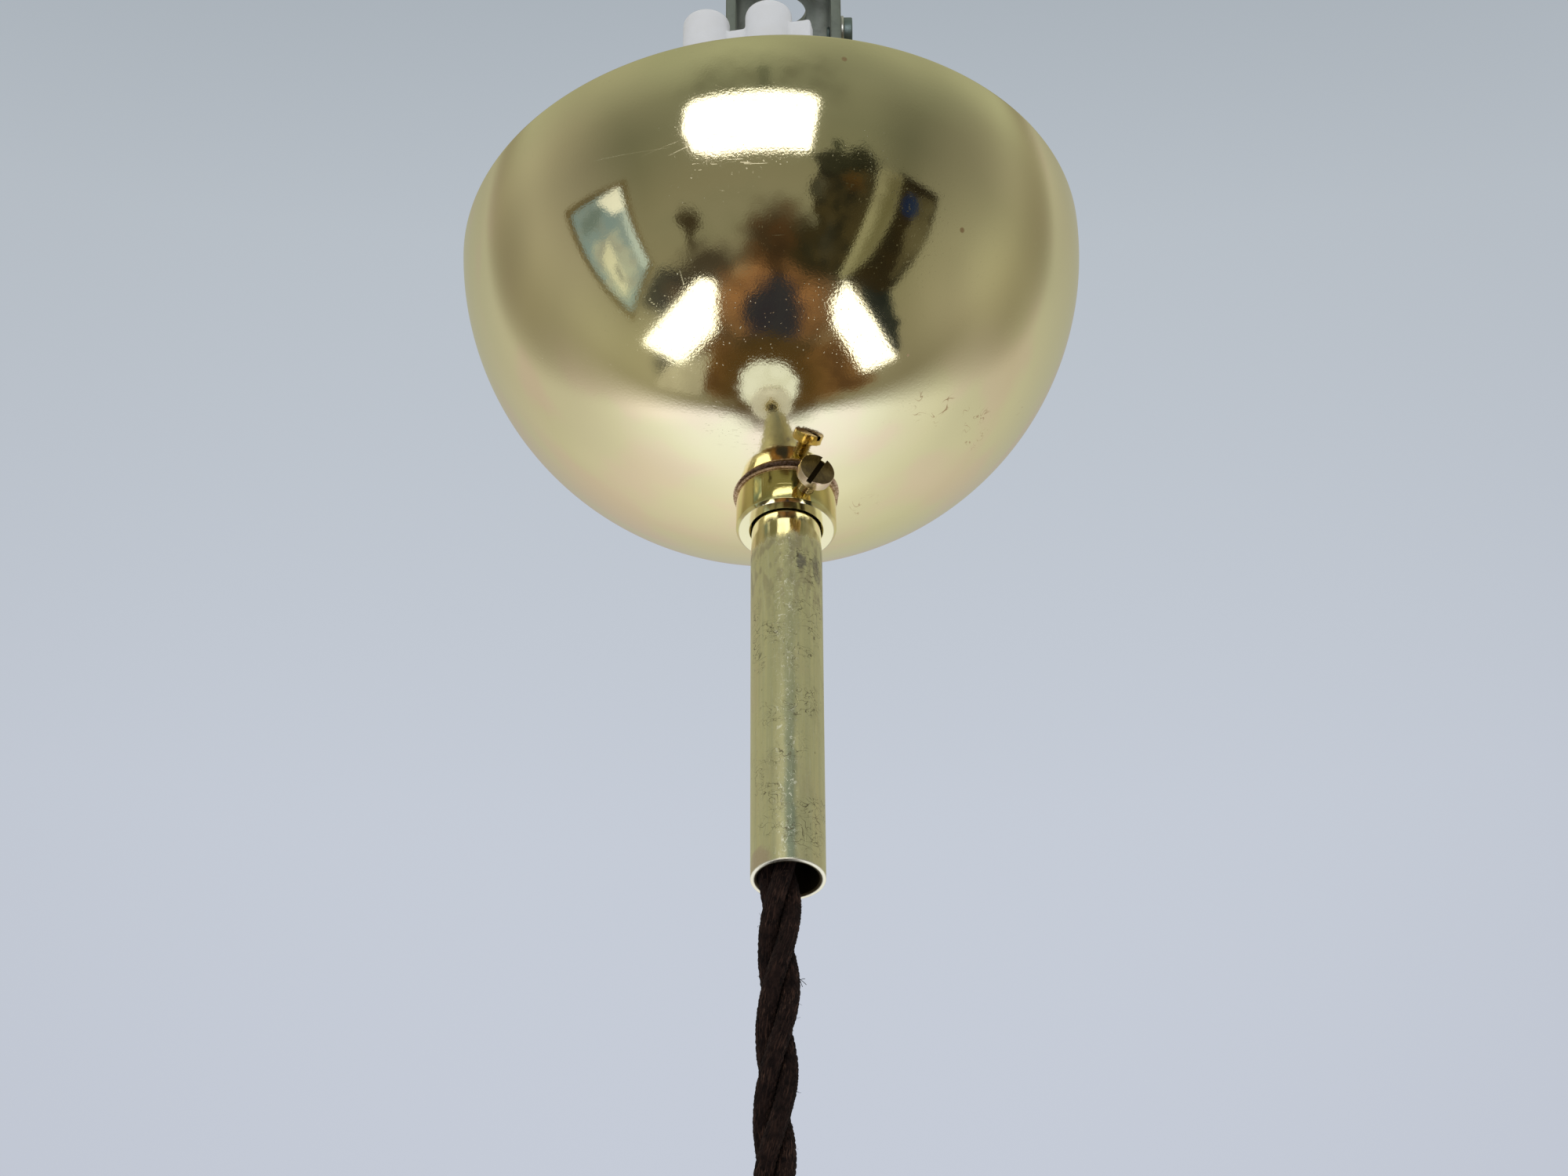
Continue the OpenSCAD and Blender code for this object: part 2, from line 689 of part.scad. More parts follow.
// One lead, from the cord clamp's top along its route. It runs straight at both its ends.
module lead(start_angle, route, before_end, end) {
    top = [0, 0, clamp_top_z];
    points = concat([core_at(start_angle) + [0, 0, 0.8]], route);
    color("saddlebrown")
        sweep(concat([top + core_at(start_angle)],
            smooth(concat([for (p = points) top + p], [before_end]), 3), [end]), lead_d / 2, 8);
}

module live_lead() {
    lead(live_angle, live_route,
        pole_at(1) + [0, 0, lead_entry_z - 3], pole_at(1) + [0, 0, lead_entry_z]);
}

module neutral_lead() {
    lead(neutral_angle, neutral_route,
        pole_at(-1) + [0, 0, lead_entry_z - 3], pole_at(-1) + [0, 0, lead_entry_z]);
}

module earth_lead() {
    lead(earth_angle, earth_route, tag_point(tag_lead_end + 5), tag_point(tag_lead_end));
}

// Bare copper ends in the two sleeves and in the tag's barrel
module lead_ends() {
    color("chocolate") {
        for (side = [-1, 1])
            translate(pole_at(side)) rod(bare_d / 2, lead_entry_z, lead_entry_z + bare_l);
        translate(tag_point(tag_barrel_start + tag_t))
            rotate([-90 - tag_angle, 0, 0])
                rod(bare_d / 2, 0, tag_lead_end - tag_barrel_start - tag_t);
    }
}

// The cord inside the stem, from the clamp's top to the stem's mouth
module stem_cord() {
    mouth = [0, 0, stem_end_z] + cord_route[0];
    color("saddlebrown")
        sweep([[0, 0, clamp_top_z], [0, 0, stem_top_z], [0, 0, base_under_z],
            [mouth[0] / 2, 0, (base_under_z + stem_end_z) / 2], mouth + [0, 0, 6], mouth],
            cord_r, 12);
}

module cord() {
    color("saddlebrown")
        sweep([for (p = cord_route) [0, 0, stem_end_z] + p], cord_r, 12);
}

// Brass cord grip: a round body with a threaded end that goes down into the cap
module holder_grip() {
    color("gold")
        translate(holder_at)
            difference() {
                rotate_extrude()
                    difference() {
                        union() {
                            translate([cord_bore_r, -grip_h])
                                square([grip_wall, grip_h - grip_round]);
                            translate([cord_bore_r, -grip_h])
                                square([grip_wall - grip_round, grip_h]);
                            translate([grip_r - grip_round, -grip_round]) circle(r = grip_round);
                            translate([cord_bore_r, plate_under_z])
                                square([spigot_wall, -plate_under_z - grip_h]);
                        }
                        translate([cord_bore_r - past, plate_under_z - past])
                            square([past, -plate_under_z + 2 * past]);
                    }
                translate([0, 0, -grip_h / 2])
                    rotate([90, 0, 0]) rod(screw_d / 2 + fixed_gap, 0, grip_r + past);
            }
}

module grip_screw() {
    head_at = grip_r + head_gap;
    color("peru")
        translate(holder_at + [0, 0, -grip_h / 2])
            rotate([90, 0, 0])
                translate([0, 0, head_at])
                    slotted_screw(screw_d, head_at - cord_r - face_gap, screw_head_d,
                        screw_head_h, 60);
}

// Threaded brass plate that the grip screws into, which holds the porcelain cap
module cap_plate() {
    color("goldenrod")
        translate(holder_at)
            difference() {
                rod(plate_r, plate_under_z, ceiling_z);
                rod(spigot_r + fixed_gap, plate_under_z - past, ceiling_z + past);
                translate([plate_screw_at[0], plate_screw_at[1], 0])
                    rod(screw_d / 2 + fixed_gap, plate_under_z - past, ceiling_z + past);
                for (turn = [0, 180])
                    rotate([0, 0, long_screw_turn + turn])
                        translate([long_screw_r, 0, 0])
                            rod(long_screw_d / 2 + fixed_gap, plate_under_z - past, ceiling_z + past);
            }
}

module plate_screw() {
    color("peru")
        translate(holder_at + [plate_screw_at[0], plate_screw_at[1], plate_under_z - head_gap])
            rotate([180, 0, 0])
                slotted_screw(screw_d, plate_t + head_gap - 0.2, screw_head_d, screw_head_h, 15);
}

// Outline of the porcelain cap: a boss, a round dome and a straight side
module cap_outline() {
    dome_x = cap_r - cap_dome_r;
    dome_z = cap_top_z - cap_dome_r;
    translate([0, cap_mouth_z]) square([cap_r, dome_z - cap_mouth_z]);
    translate([0, cap_mouth_z]) square([dome_x, cap_top_z - cap_mouth_z]);
    intersection() {
        translate([dome_x, dome_z]) circle(r = cap_dome_r, $fn = 180);
        translate([0, dome_z]) square([cap_r, cap_dome_r]);
    }
    translate([0, cap_top_z - past]) square([grip_r + boss_margin, boss_h + past]);
}

// Hollow of the cap: a round-cornered room for the terminals over the insert's seat
module cap_hollow() {
    corner_x = hollow_r - cap_hollow_r;
    corner_z = ceiling_z - cap_hollow_r;
    translate([0, insert_top_z]) square([hollow_r, corner_z - insert_top_z]);
    translate([0, insert_top_z]) square([corner_x, ceiling_z - insert_top_z]);
    intersection() {
        translate([corner_x, corner_z]) circle(r = cap_hollow_r);
        translate([0, corner_z]) square([hollow_r, cap_hollow_r]);
    }
    translate([0, cap_mouth_z - past]) square([cap_bore_r, insert_top_z - cap_mouth_z + past]);
}

module holder_cap() {
    color("ivory")
        translate(holder_at)
            rotate_extrude($fn = 144)
                difference() {
                    cap_outline();
                    cap_hollow();
                    translate([0, ceiling_z - past])
                        square([spigot_r + fixed_gap, boss_z - ceiling_z + 2 * past]);
                }
}

// Long screws that draw the insert up against the cap's ledge
module insert_screws() {
    head_z = insert_under_z + screw_head_h - fixed_gap;
    color("tan")
        translate(holder_at)
            for (turn = [0, 180])
                rotate([0, 0, long_screw_turn + turn])
                    translate([long_screw_r, 0, head_z])
                        rotate([180, 0, 0])
                            slotted_screw(long_screw_d, ceiling_z - head_z - 0.2, screw_head_d,
                                screw_head_h - 2 * fixed_gap, 30);
}

// Porcelain disc with a well for the centre contact and holes for screws and rivets
module holder_insert() {
    color("white")
        translate(holder_at)
            difference() {
                rod(insert_r, insert_under_z, insert_top_z);
                rod(contact_bore_r, insert_under_z - past, insert_top_z + past);
                rod(contact_well_r, contact_seat_z, insert_top_z + past);
                for (turn = [0, 180])
                    rotate([0, 0, long_screw_turn + turn]) translate([long_screw_r, 0, 0]) {
                        rod(long_screw_d / 2 + fixed_gap, insert_under_z - past, insert_top_z + past);
                        rod(screw_head_d / 2 + fixed_gap, insert_under_z - past,
                            insert_under_z + screw_head_h - fixed_gap);
                    }
                for (side = [-1, 1])
                    translate([side * terminal_x, 0, 0])
                        rod(rivet_d / 2 + fixed_gap, insert_under_z - past, insert_top_z + past);
            }
}

// Left strip over the centre contact's well, and right pad over the shell's rivet
module contact_strips() {
    strip_w = terminal_w - 0.5;
    left_end = -terminal_x - terminal_w / 2;
    color("goldenrod")
        translate(holder_at) {
            translate([left_end, -strip_w / 2, insert_top_z])
                cube([contact_collar_r - left_end, strip_w, strip_t]);
            translate([terminal_x - terminal_w / 2, -strip_w / 2, insert_top_z])
                cube([terminal_w, strip_w, strip_t]);
        }
}

// Brass blocks with a wire hole from above and a screw from the side
module holder_terminals() {
    color("darkgoldenrod")
        translate(holder_at)
            for (side = [-1, 1]) scale([side, 1, 1])
                difference() {
                    translate([terminal_x - terminal_w / 2, -terminal_deep / 2, strip_top_z])
                        cube([terminal_w, terminal_deep, terminal_h]);
                    translate([wire_hole_x, 0, 0])
                        rod(wire_hole_r, terminal_top_z - wire_hole_deep, terminal_top_z + past);
                    translate([wire_hole_x, 0, terminal_top_z - wire_hole_deep / 2])
                        rotate([0, 90, 0]) rod(terminal_screw_d / 2 + fixed_gap, 0, terminal_w);
                }
}

module holder_terminal_screws() {
    tip_x = wire_hole_x + wire_hole_r;
    face_x = terminal_x + terminal_w / 2;
    color("tan")
        translate(holder_at)
            for (turn = [0, 180])
                rotate([0, 0, turn])
                    translate([face_x, 0, terminal_top_z - wire_hole_deep / 2])
                        rotate([0, 90, 0])
                            translate([0, 0, head_gap / 2])
                                slotted_screw(terminal_screw_d, face_x + head_gap / 2 - tip_x,
                                    1.7 * terminal_screw_d, slot_depth + 0.6, 45);
}

// Rivets through the insert: the right one also holds the shell's tab
module contact_rivets() {
    head_t = 0.5;
    color("goldenrod")
        translate(holder_at) {
            translate([-terminal_x, 0, 0])
                rod(rivet_d / 2, insert_under_z, insert_top_z);
            translate([terminal_x, 0, 0]) {
                rod(rivet_d / 2, insert_under_z - shell_t - head_t, insert_top_z);
                rod(rivet_d / 2 + 0.6, insert_under_z - shell_t - head_t, insert_under_z - shell_t);
            }
        }
}

// Spring-loaded plunger with a domed tip
module centre_contact() {
    dome_r = contact_r * 1.6;
    dome_drop = dome_r - sqrt(dome_r * dome_r - contact_r * contact_r);
    color("gold")
        translate(holder_at) {
            rod(contact_collar_r, contact_collar_z, contact_collar_z + contact_collar_t);
            rod(contact_r, contact_tip_z + dome_drop, contact_collar_z);
            intersection() {
                translate([0, 0, contact_tip_z + dome_r]) sphere(r = dome_r);
                rod(contact_r, contact_tip_z - past, contact_tip_z + dome_drop);
            }
        }
}

// Flat ring spring between the plunger's collar and the strip over it
module contact_spring() {
    color("silver")
        translate(holder_at) tube(contact_r, contact_r - 1, spring_z, insert_top_z);
}

// Brass lamp shell: threaded part, narrower neck, lip and the tab under the right rivet
module screw_shell() {
    color("gold")
        translate(holder_at)
            difference() {
                union() {
                    rotate_extrude()
                        polygon([
                            [neck_r - shell_lip, insert_under_z], [neck_r + shell_t, insert_under_z],
                            [neck_r + shell_t, neck_end_z], [shell_r + shell_t, neck_end_z],
                            [shell_r + shell_t, shell_end_z], [shell_r, shell_end_z],
                            [shell_r, neck_end_z - shell_t], [neck_r, neck_end_z - shell_t],
                            [neck_r, insert_under_z - shell_t],
                            [neck_r - shell_lip, insert_under_z - shell_t]]);
                    translate([terminal_x - rivet_d, -rivet_d, insert_under_z - shell_t])
                        cube([neck_r - terminal_x + rivet_d, 2 * rivet_d, shell_t]);
                }
                translate([terminal_x, 0, 0])
                    rod(rivet_d / 2 + fixed_gap, insert_under_z - 2 * shell_t, insert_under_z + past);
            }
}

// Cores inside the cap, bare of their braid: two go to the terminals and one to the plate's screw
module holder_leads() {
    foot = plate_under_z;
    end_z = terminal_top_z + 1;
    aim = unit(plate_screw_at - [0, core_ring_r]);
    earth_end = plate_screw_at - eye_reach * aim;
    color("saddlebrown")
        translate(holder_at) {
            for (side = [-1, 1])
                sweep(concat(smooth([
                    [side * core_ring_r * cos(30), -core_ring_r / 2, foot],
                    [side * 2, -0.7, foot - 1.3],
                    [side * wire_hole_x / 2, -0.3, (foot + end_z) / 2 + 0.2],
                    [side * (wire_hole_x - 0.5), 0, end_z + 1.8],
                    [side * wire_hole_x, 0, end_z + 0.5]], 3),
                    [[side * wire_hole_x, 0, end_z]]), core_d / 2, 8);
            sweep(concat(smooth([
                [0, core_ring_r, foot], [0.1, core_ring_r + 0.1, foot - 1],
                [earth_end[0] / 2, (earth_end[1] + core_ring_r) / 2, foot - 2],
                [earth_end[0] - 0.4 * aim[0], earth_end[1] - 0.4 * aim[1], foot - 2.2]], 3),
                [[earth_end[0], earth_end[1], foot - 2.2]]), core_d / 2, 8);
        }
}

// Bare ends in the terminals' wire holes, and the eye under the plate's screw
module holder_lead_ends() {
    aim = unit(plate_screw_at - [0, core_ring_r]);
    eye_in_r = screw_d / 2 + fixed_gap;
    eye_wire = 0.8;
    color("chocolate")
        translate(holder_at) {
            for (side = [-1, 1])
                translate([side * wire_hole_x, 0, 0])
                    rod(wire_hole_r - fixed_gap, terminal_top_z - wire_hole_deep, terminal_top_z + 1);
            translate([plate_screw_at[0], plate_screw_at[1], plate_under_z - head_gap]) {
                tube(screw_head_d / 2 - 0.2, eye_in_r, 0, head_gap);
                rotate([0, 0, atan2(aim[1], aim[0]) + 180]) {
                    translate([eye_in_r + 0.3, -eye_wire / 2, 0])
                        cube([eye_reach - eye_in_r - 0.3, eye_wire, head_gap]);
                    translate([eye_reach - eye_wire, -eye_wire / 2, head_gap - 2.6])
                        cube([eye_wire, eye_wire, 2.6]);
                }
            }
        }
}

// Porcelain skirt: threaded outside for the cap and the shade rings, with a plain guide below
module holder_skirt() {
    guide_r = skirt_r - guide_step;
    color("ivory")
        translate(holder_at)
            rotate_extrude($fn = 144)
                polygon([
                    [skirt_bore_r, skirt_top_z], [skirt_r, skirt_top_z], [skirt_r, guide_z],
                    [guide_r, guide_z], [guide_r, skirt_end_z + skirt_bevel],
                    [guide_r - skirt_bevel, skirt_end_z], [skirt_bore_r, skirt_end_z]]);
}

// Notched ring on the skirt's thread
module shade_ring(z) {
    color("gold")
        translate(holder_at + [0, 0, z])
            linear_extrude(ring_h)
                difference() {
                    circle(r = ring_r);
                    circle(r = ring_bore_r);
                    for (k = [0 : ring_notches - 1])
                        rotate(360 * k / ring_notches)
                            translate([ring_r, 0]) circle(r = notch_r, $fn = 24);
                }
}

module upper_shade_ring() {
    shade_ring(upper_ring_z);
}

module lower_shade_ring() {
    shade_ring(lower_ring_z);
}

hanger_stirrup();
earth_screw();
earth_tag();
stem();
stem_nut();
cord_clamp();
cord_clamp_screws();
collar();
clamp_screw();
seat_washer();
canopy();
terminal_block();
terminal_sleeves();
terminal_screws();
live_lead();
neutral_lead();
earth_lead();
lead_ends();
stem_cord();
cord();
holder_grip();
grip_screw();
cap_plate();
plate_screw();
holder_cap();
insert_screws();
holder_insert();
contact_strips();
holder_terminals();
holder_terminal_screws();
contact_rivets();
centre_contact();
contact_spring();
screw_shell();
holder_leads();
holder_lead_ends();
holder_skirt();
upper_shade_ring();
lower_shade_ring();
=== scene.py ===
"""Pendant light with its canopy let down on the stem. Sizes of shapes are in millimetres."""

import json
import math
from functools import reduce

import bmesh
import bpy
import numpy as np
from mathutils import Matrix, Vector


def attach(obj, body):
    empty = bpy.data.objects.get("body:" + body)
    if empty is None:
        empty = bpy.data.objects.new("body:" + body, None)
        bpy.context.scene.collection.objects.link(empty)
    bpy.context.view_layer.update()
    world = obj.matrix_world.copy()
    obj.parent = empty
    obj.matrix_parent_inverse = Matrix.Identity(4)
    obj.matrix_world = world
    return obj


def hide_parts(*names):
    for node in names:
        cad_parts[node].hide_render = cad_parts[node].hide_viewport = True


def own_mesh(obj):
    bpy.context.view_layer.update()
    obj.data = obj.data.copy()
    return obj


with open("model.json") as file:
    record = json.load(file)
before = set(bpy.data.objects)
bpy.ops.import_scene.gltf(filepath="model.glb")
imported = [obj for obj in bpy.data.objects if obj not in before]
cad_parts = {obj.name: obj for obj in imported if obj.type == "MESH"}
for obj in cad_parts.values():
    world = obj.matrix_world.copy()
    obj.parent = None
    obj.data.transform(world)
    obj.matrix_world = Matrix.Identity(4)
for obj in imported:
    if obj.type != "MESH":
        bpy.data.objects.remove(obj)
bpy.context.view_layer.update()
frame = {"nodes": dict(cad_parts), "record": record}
nodes = frame["nodes"]
scene = bpy.context.scene
scene.view_settings.view_transform = "Standard"
rng = np.random.default_rng(7)
BODY = {name: body for body, names in frame["record"]["behaviour"]["bodies"].items() for name in names}
SLOT = {part["node"]: part["material_slot"] for part in frame["record"]["subparts"]}


def polar(radius, degrees, centre=(0, 0)):
    """Point on a circle; its angle counts from the first axis towards the second."""
    a = math.radians(degrees)
    return centre[0] + radius * math.cos(a), centre[1] + radius * math.sin(a)


# ---------------------------------------------------------------- sizes of the CAD model
BASE_TOP, BASE_UNDER, STEM_TOP, CLAMP_TOP, STEM_END = -31.0, -33.0, -25.0, -19.0, -196.5
STEM_R, STEM_BORE = 6.0, 5.0
LAY_LENGTH, LAY_FROM, STEM_LAY, FIBRES = 44.6, -202.0, 1530, 150
COLLAR = (-126.3, -119.5)
WASHER = (-119.47, -119.07)
CANOPY_R, CANOPY_IN, CANOPY_PIVOT, CANOPY_SAG, CANOPY_LEAN = 55.0, 54.2, -118.6165, 0.3855, 2.5
SCREW_Z, SCREW_TURN, SCREW_FACE = -123, 23, 13.6
GRUB_Z, EARTH_Z, TAG_TILT, SLOT_DEPTH = -22, -7, 35, 0.9
HOLDER = (-2.4, 0.0, -256.5)
INSERT_LOW, INSERT_TOP, HOLE_RING, HOLE_ANGLES = -38.45, -34.45, 7.3, (115, 295)
SKIRT_R, RING_HEIGHT, LAMP_PITCH = 19.6, 4.5, 3.63
LEAD_R, BARE_R = 1.6, 0.7
CORE_RING = 2 * LEAD_R / math.sqrt(3)
CORD_X = (-1.3, -1.3, -1.4, -1.4, -1.5, -1.6, -1.7, -1.8, -1.9, -2, -2.1, -2.2, -2.3, -2.4, -2.4, -2.4)
CORD_ROUTE = np.array([[x, 0, STEM_END - 4 * i] for i, x in enumerate(CORD_X)])
LIVE_ROUTE = [
    [0, 2.2, 2.5], [0.3, 5, 4.4], [1.2, 8.8, 3.2], [4.5, 13, -2], [11, 12.5, -8],
    [16, 6, -13], [15.8, -5, -19], [10.8, -13.5, -23.5], [4, -17.6, -26], [-1.4, -17.2, -24.4]]
NEUTRAL_ROUTE = [
    [-1.9, -0.9, 3], [-3.4, 1.8, 6], [-4.8, 7, 5.2], [-8.5, 11, 1], [-14, 9.5, -6],
    [-18.5, 3.5, -13], [-20.3, -4.5, -19.5], [-18.9, -11.5, -24.2], [-15.2, -14.1, -23.4]]
EARTH_ROUTE = [[1.9, -0.9, 3], [3.4, 1.8, 6], [5, 8, 5.4], [7.2, 13, 3.2], [11, 15.2, 2.2]]
BLOCK_TURN, HALF_POLES, BLOCK_VOXEL = -11, 5.8, 0.00024
POLES = {side: np.array([*polar(side * HALF_POLES, BLOCK_TURN, (-8.4, -15.35)), -27.9]) for side in (-1, 1)}


def new_object(name, data):
    obj = bpy.data.objects.new(name, data)
    scene.collection.objects.link(obj)
    return obj


def mesh_object(name, points, faces, uv=None):
    data = bpy.data.meshes.new(name)
    data.from_pydata((np.asarray(points, float) / 1000).tolist(), [], faces)
    if uv is not None:
        index = np.empty(len(data.loops), int)
        data.loops.foreach_get("vertex_index", index)
        data.uv_layers.new(name="UVMap").data.foreach_set("uv", np.asarray(uv, float)[index].ravel())
    data.validate()
    return new_object(name, data)


# ---------------------------------------------------------------- camera
camera = new_object("camera", bpy.data.cameras.new("camera"))
camera.data.sensor_width, camera.data.lens = 36, 85.867
camera.data.clip_start, camera.data.clip_end = 0.01, 60
ROLL, LEVEL, LIFT = -0.00513, Vector((1, 0, 0)), Vector((0, -0.61117, 0.79150))
right, up = (LEVEL + ROLL * LIFT).normalized(), (LIFT - ROLL * LEVEL).normalized()
camera.matrix_world = Matrix.Translation((-0.00043, -0.4947, -0.5204)) @ Matrix(
    (right, up, right.cross(up))).transposed().to_4x4()
scene.camera = camera


# ---------------------------------------------------------------- shader helpers
class Wire:
    """One output of a shader node. Sums, products and so on of wires are wires too."""

    def __init__(self, socket):
        self.socket, self.tree = socket, socket.id_data

    def __mul__(self, other):
        return calc("MULTIPLY", self, other)

    def __truediv__(self, other):
        return calc("DIVIDE", self, other)

    def __sub__(self, other):
        return calc("SUBTRACT", self, other)

    def __rsub__(self, other):
        return calc("SUBTRACT", other, self)

    def __abs__(self):
        return calc("ABSOLUTE", self)


def emptied(owner):
    """The node tree of a new material or world, without its nodes."""
    owner.use_nodes = True
    owner.node_tree.nodes.clear()
    return owner.node_tree


def node(tree, kind, inputs=None, out=0, **settings):
    """Adds a shader node, with sockets given by name or index, and returns one output."""
    n = tree.nodes.new("ShaderNode" + kind)
    for key, value in settings.items():
        setattr(n, key, value)
    for key, value in (inputs or {}).items():
        if isinstance(value, Wire):
            tree.links.new(value.socket, n.inputs[key])
        else:
            n.inputs[key].default_value = value
    return Wire(n.outputs[out]) if n.outputs else n


def tree_of(*values):
    return next(value.tree for value in values if isinstance(value, Wire))


def calc(operation, *values):
    return node(tree_of(*values), "Math", dict(enumerate(values)), operation=operation)


def summed(total, *terms):
    """A start value plus each wire times its weight."""
    for wire, weight in terms:
        total = calc("MULTIPLY_ADD", wire, weight, total)
    return total


def largest(*masks):
    return reduce(lambda a, b: calc("MAXIMUM", a, b), masks)


def vector_calc(operation, *values, out=0):
    return node(values[0].tree, "VectorMath", dict(enumerate(values)), out, operation=operation)


def dot(vector, fixed):
    return vector_calc("DOT_PRODUCT", vector, fixed, out=1)


def length(vector):
    return vector_calc("LENGTH", vector, out=1)


def distance(vector, fixed):
    return vector_calc("DISTANCE", vector, fixed, out=1)


def minus(vector, fixed):
    return vector_calc("SUBTRACT", vector, fixed)


def split(vector):
    x = node(vector.tree, "SeparateXYZ", {0: vector})
    return [Wire(socket) for socket in x.socket.node.outputs]


def off_axis(x, y):
    """Distance from the Z axis."""
    return length(node(x.tree, "CombineXYZ", {0: x, 1: y}))


def step(value, low, high, to_low=0.0, to_high=1.0):
    """Smooth step of a value between two limits."""
    return node(value.tree, "MapRange", dict(enumerate((value, low, high, to_low, to_high))),
                interpolation_type="SMOOTHSTEP")


def fade(value, near, far, least=0.0):
    """Full up to the first limit, and least past the second."""
    return step(value, near, far, 1.0, least)


def band(value, centre, near, far, least=0.0):
    """Mask of the values round a centre: full as near as this, and least from that far on."""
    return fade(abs(value - centre), near, far, least)


def rgba(colour):
    return (colour, colour, colour, 1) if isinstance(colour, (int, float)) else (*colour, 1)[:4]


def mix(factor, a, b, blend="MIX"):
    tree = tree_of(factor, a, b)
    a, b = [c if isinstance(c, Wire) else rgba(c) for c in (a, b)]
    return node(tree, "Mix", {0: factor, 6: a, 7: b}, out=2, data_type="RGBA", blend_type=blend)


def layered(colour, *coats):
    """Colour under coats (mask, amount, colour), the last one on top."""
    for mask, amount, coat in coats:
        colour = mix(mask if amount == 1 else mask * amount, colour, coat)
    return colour


def stained(colour, *stains):
    """Colour under cloudy stains (wire, low limit, high limit, amount, colour)."""
    return layered(colour, *[(step(wire, low, high, 0.0, amount), 1, stain)
                             for wire, low, high, amount, stain in stains])


def ramp(value, stops):
    """Colour ramp with stops (position, colour)."""
    out = node(value.tree, "ValToRGB", {0: value})
    elements = out.socket.node.color_ramp.elements
    while len(elements) < len(stops):
        elements.new(0.5)
    for item, (position, colour) in zip(elements, stops):
        item.position, item.color = position, rgba(colour)
    return out


def noise(vector, scale, detail=3.0, rough=0.55, out=0, distortion=0.0):
    return node(vector.tree, "TexNoise", {"Vector": vector, "Scale": scale, "Detail": detail,
                                          "Roughness": rough, "Distortion": distortion}, out)


def stretched(vector, scale, turn=(0, 0, 0)):
    return node(vector.tree, "Mapping", {"Vector": vector, "Rotation": turn, "Scale": scale})


def streaky(vector, scale, detail, rough, turn=(0, 0, 0)):
    return noise(stretched(vector, scale, turn), 1.0, detail, rough)


def blown(vector, by, scale, detail, rough=0.55, at=None):
    """The vector with a noise added, by this much at most on each axis."""
    return vector_calc("MULTIPLY_ADD", noise(at or vector, scale, detail, rough, out=1), by, vector)


def dots(vector, scale, near, far):
    return fade(node(vector.tree, "TexVoronoi", {"Vector": vector, "Scale": scale}), near, far)


def direction(azimuth, elevation):
    """Unit vector; the azimuth counts from the viewer's side (-Y) towards +X."""
    a, e = math.radians(azimuth), math.radians(elevation)
    return Vector((math.sin(a) * math.cos(e), -math.cos(a) * math.cos(e), math.sin(e)))


# ---------------------------------------------------------------- world and lamps
def patch(way, corners, soft):
    """Mask of an area of the sky; its corners are azimuths and elevations, in order."""
    rays = [direction(*c) for c in corners]
    middle = sum(rays, Vector()) / len(rays)
    mask = None
    for a, b in zip(rays, rays[1:] + rays[:1]):
        normal = a.cross(b).normalized()
        if normal.dot(middle) < 0:
            normal = -normal
        side = step(dot(way, normal), -soft, soft)
        mask = side if mask is None else mask * side
    return mask


def blob(way, azimuth, elevation, wide, high, soft):
    """Mask of a soft oval in the sky; its half sizes are in radians."""
    out = direction(azimuth, elevation)
    right = Vector((-out.y, out.x, 0)).normalized()
    basis = Matrix((right, out.cross(right), out)).transposed()
    near = node(way.tree, "Mapping", {"Vector": way, "Location": out, "Rotation": basis.to_euler(),
                                      "Scale": (wide, high, 1.5)}, vector_type="TEXTURE")
    return step(length(near), 1 + soft, 1 - soft)


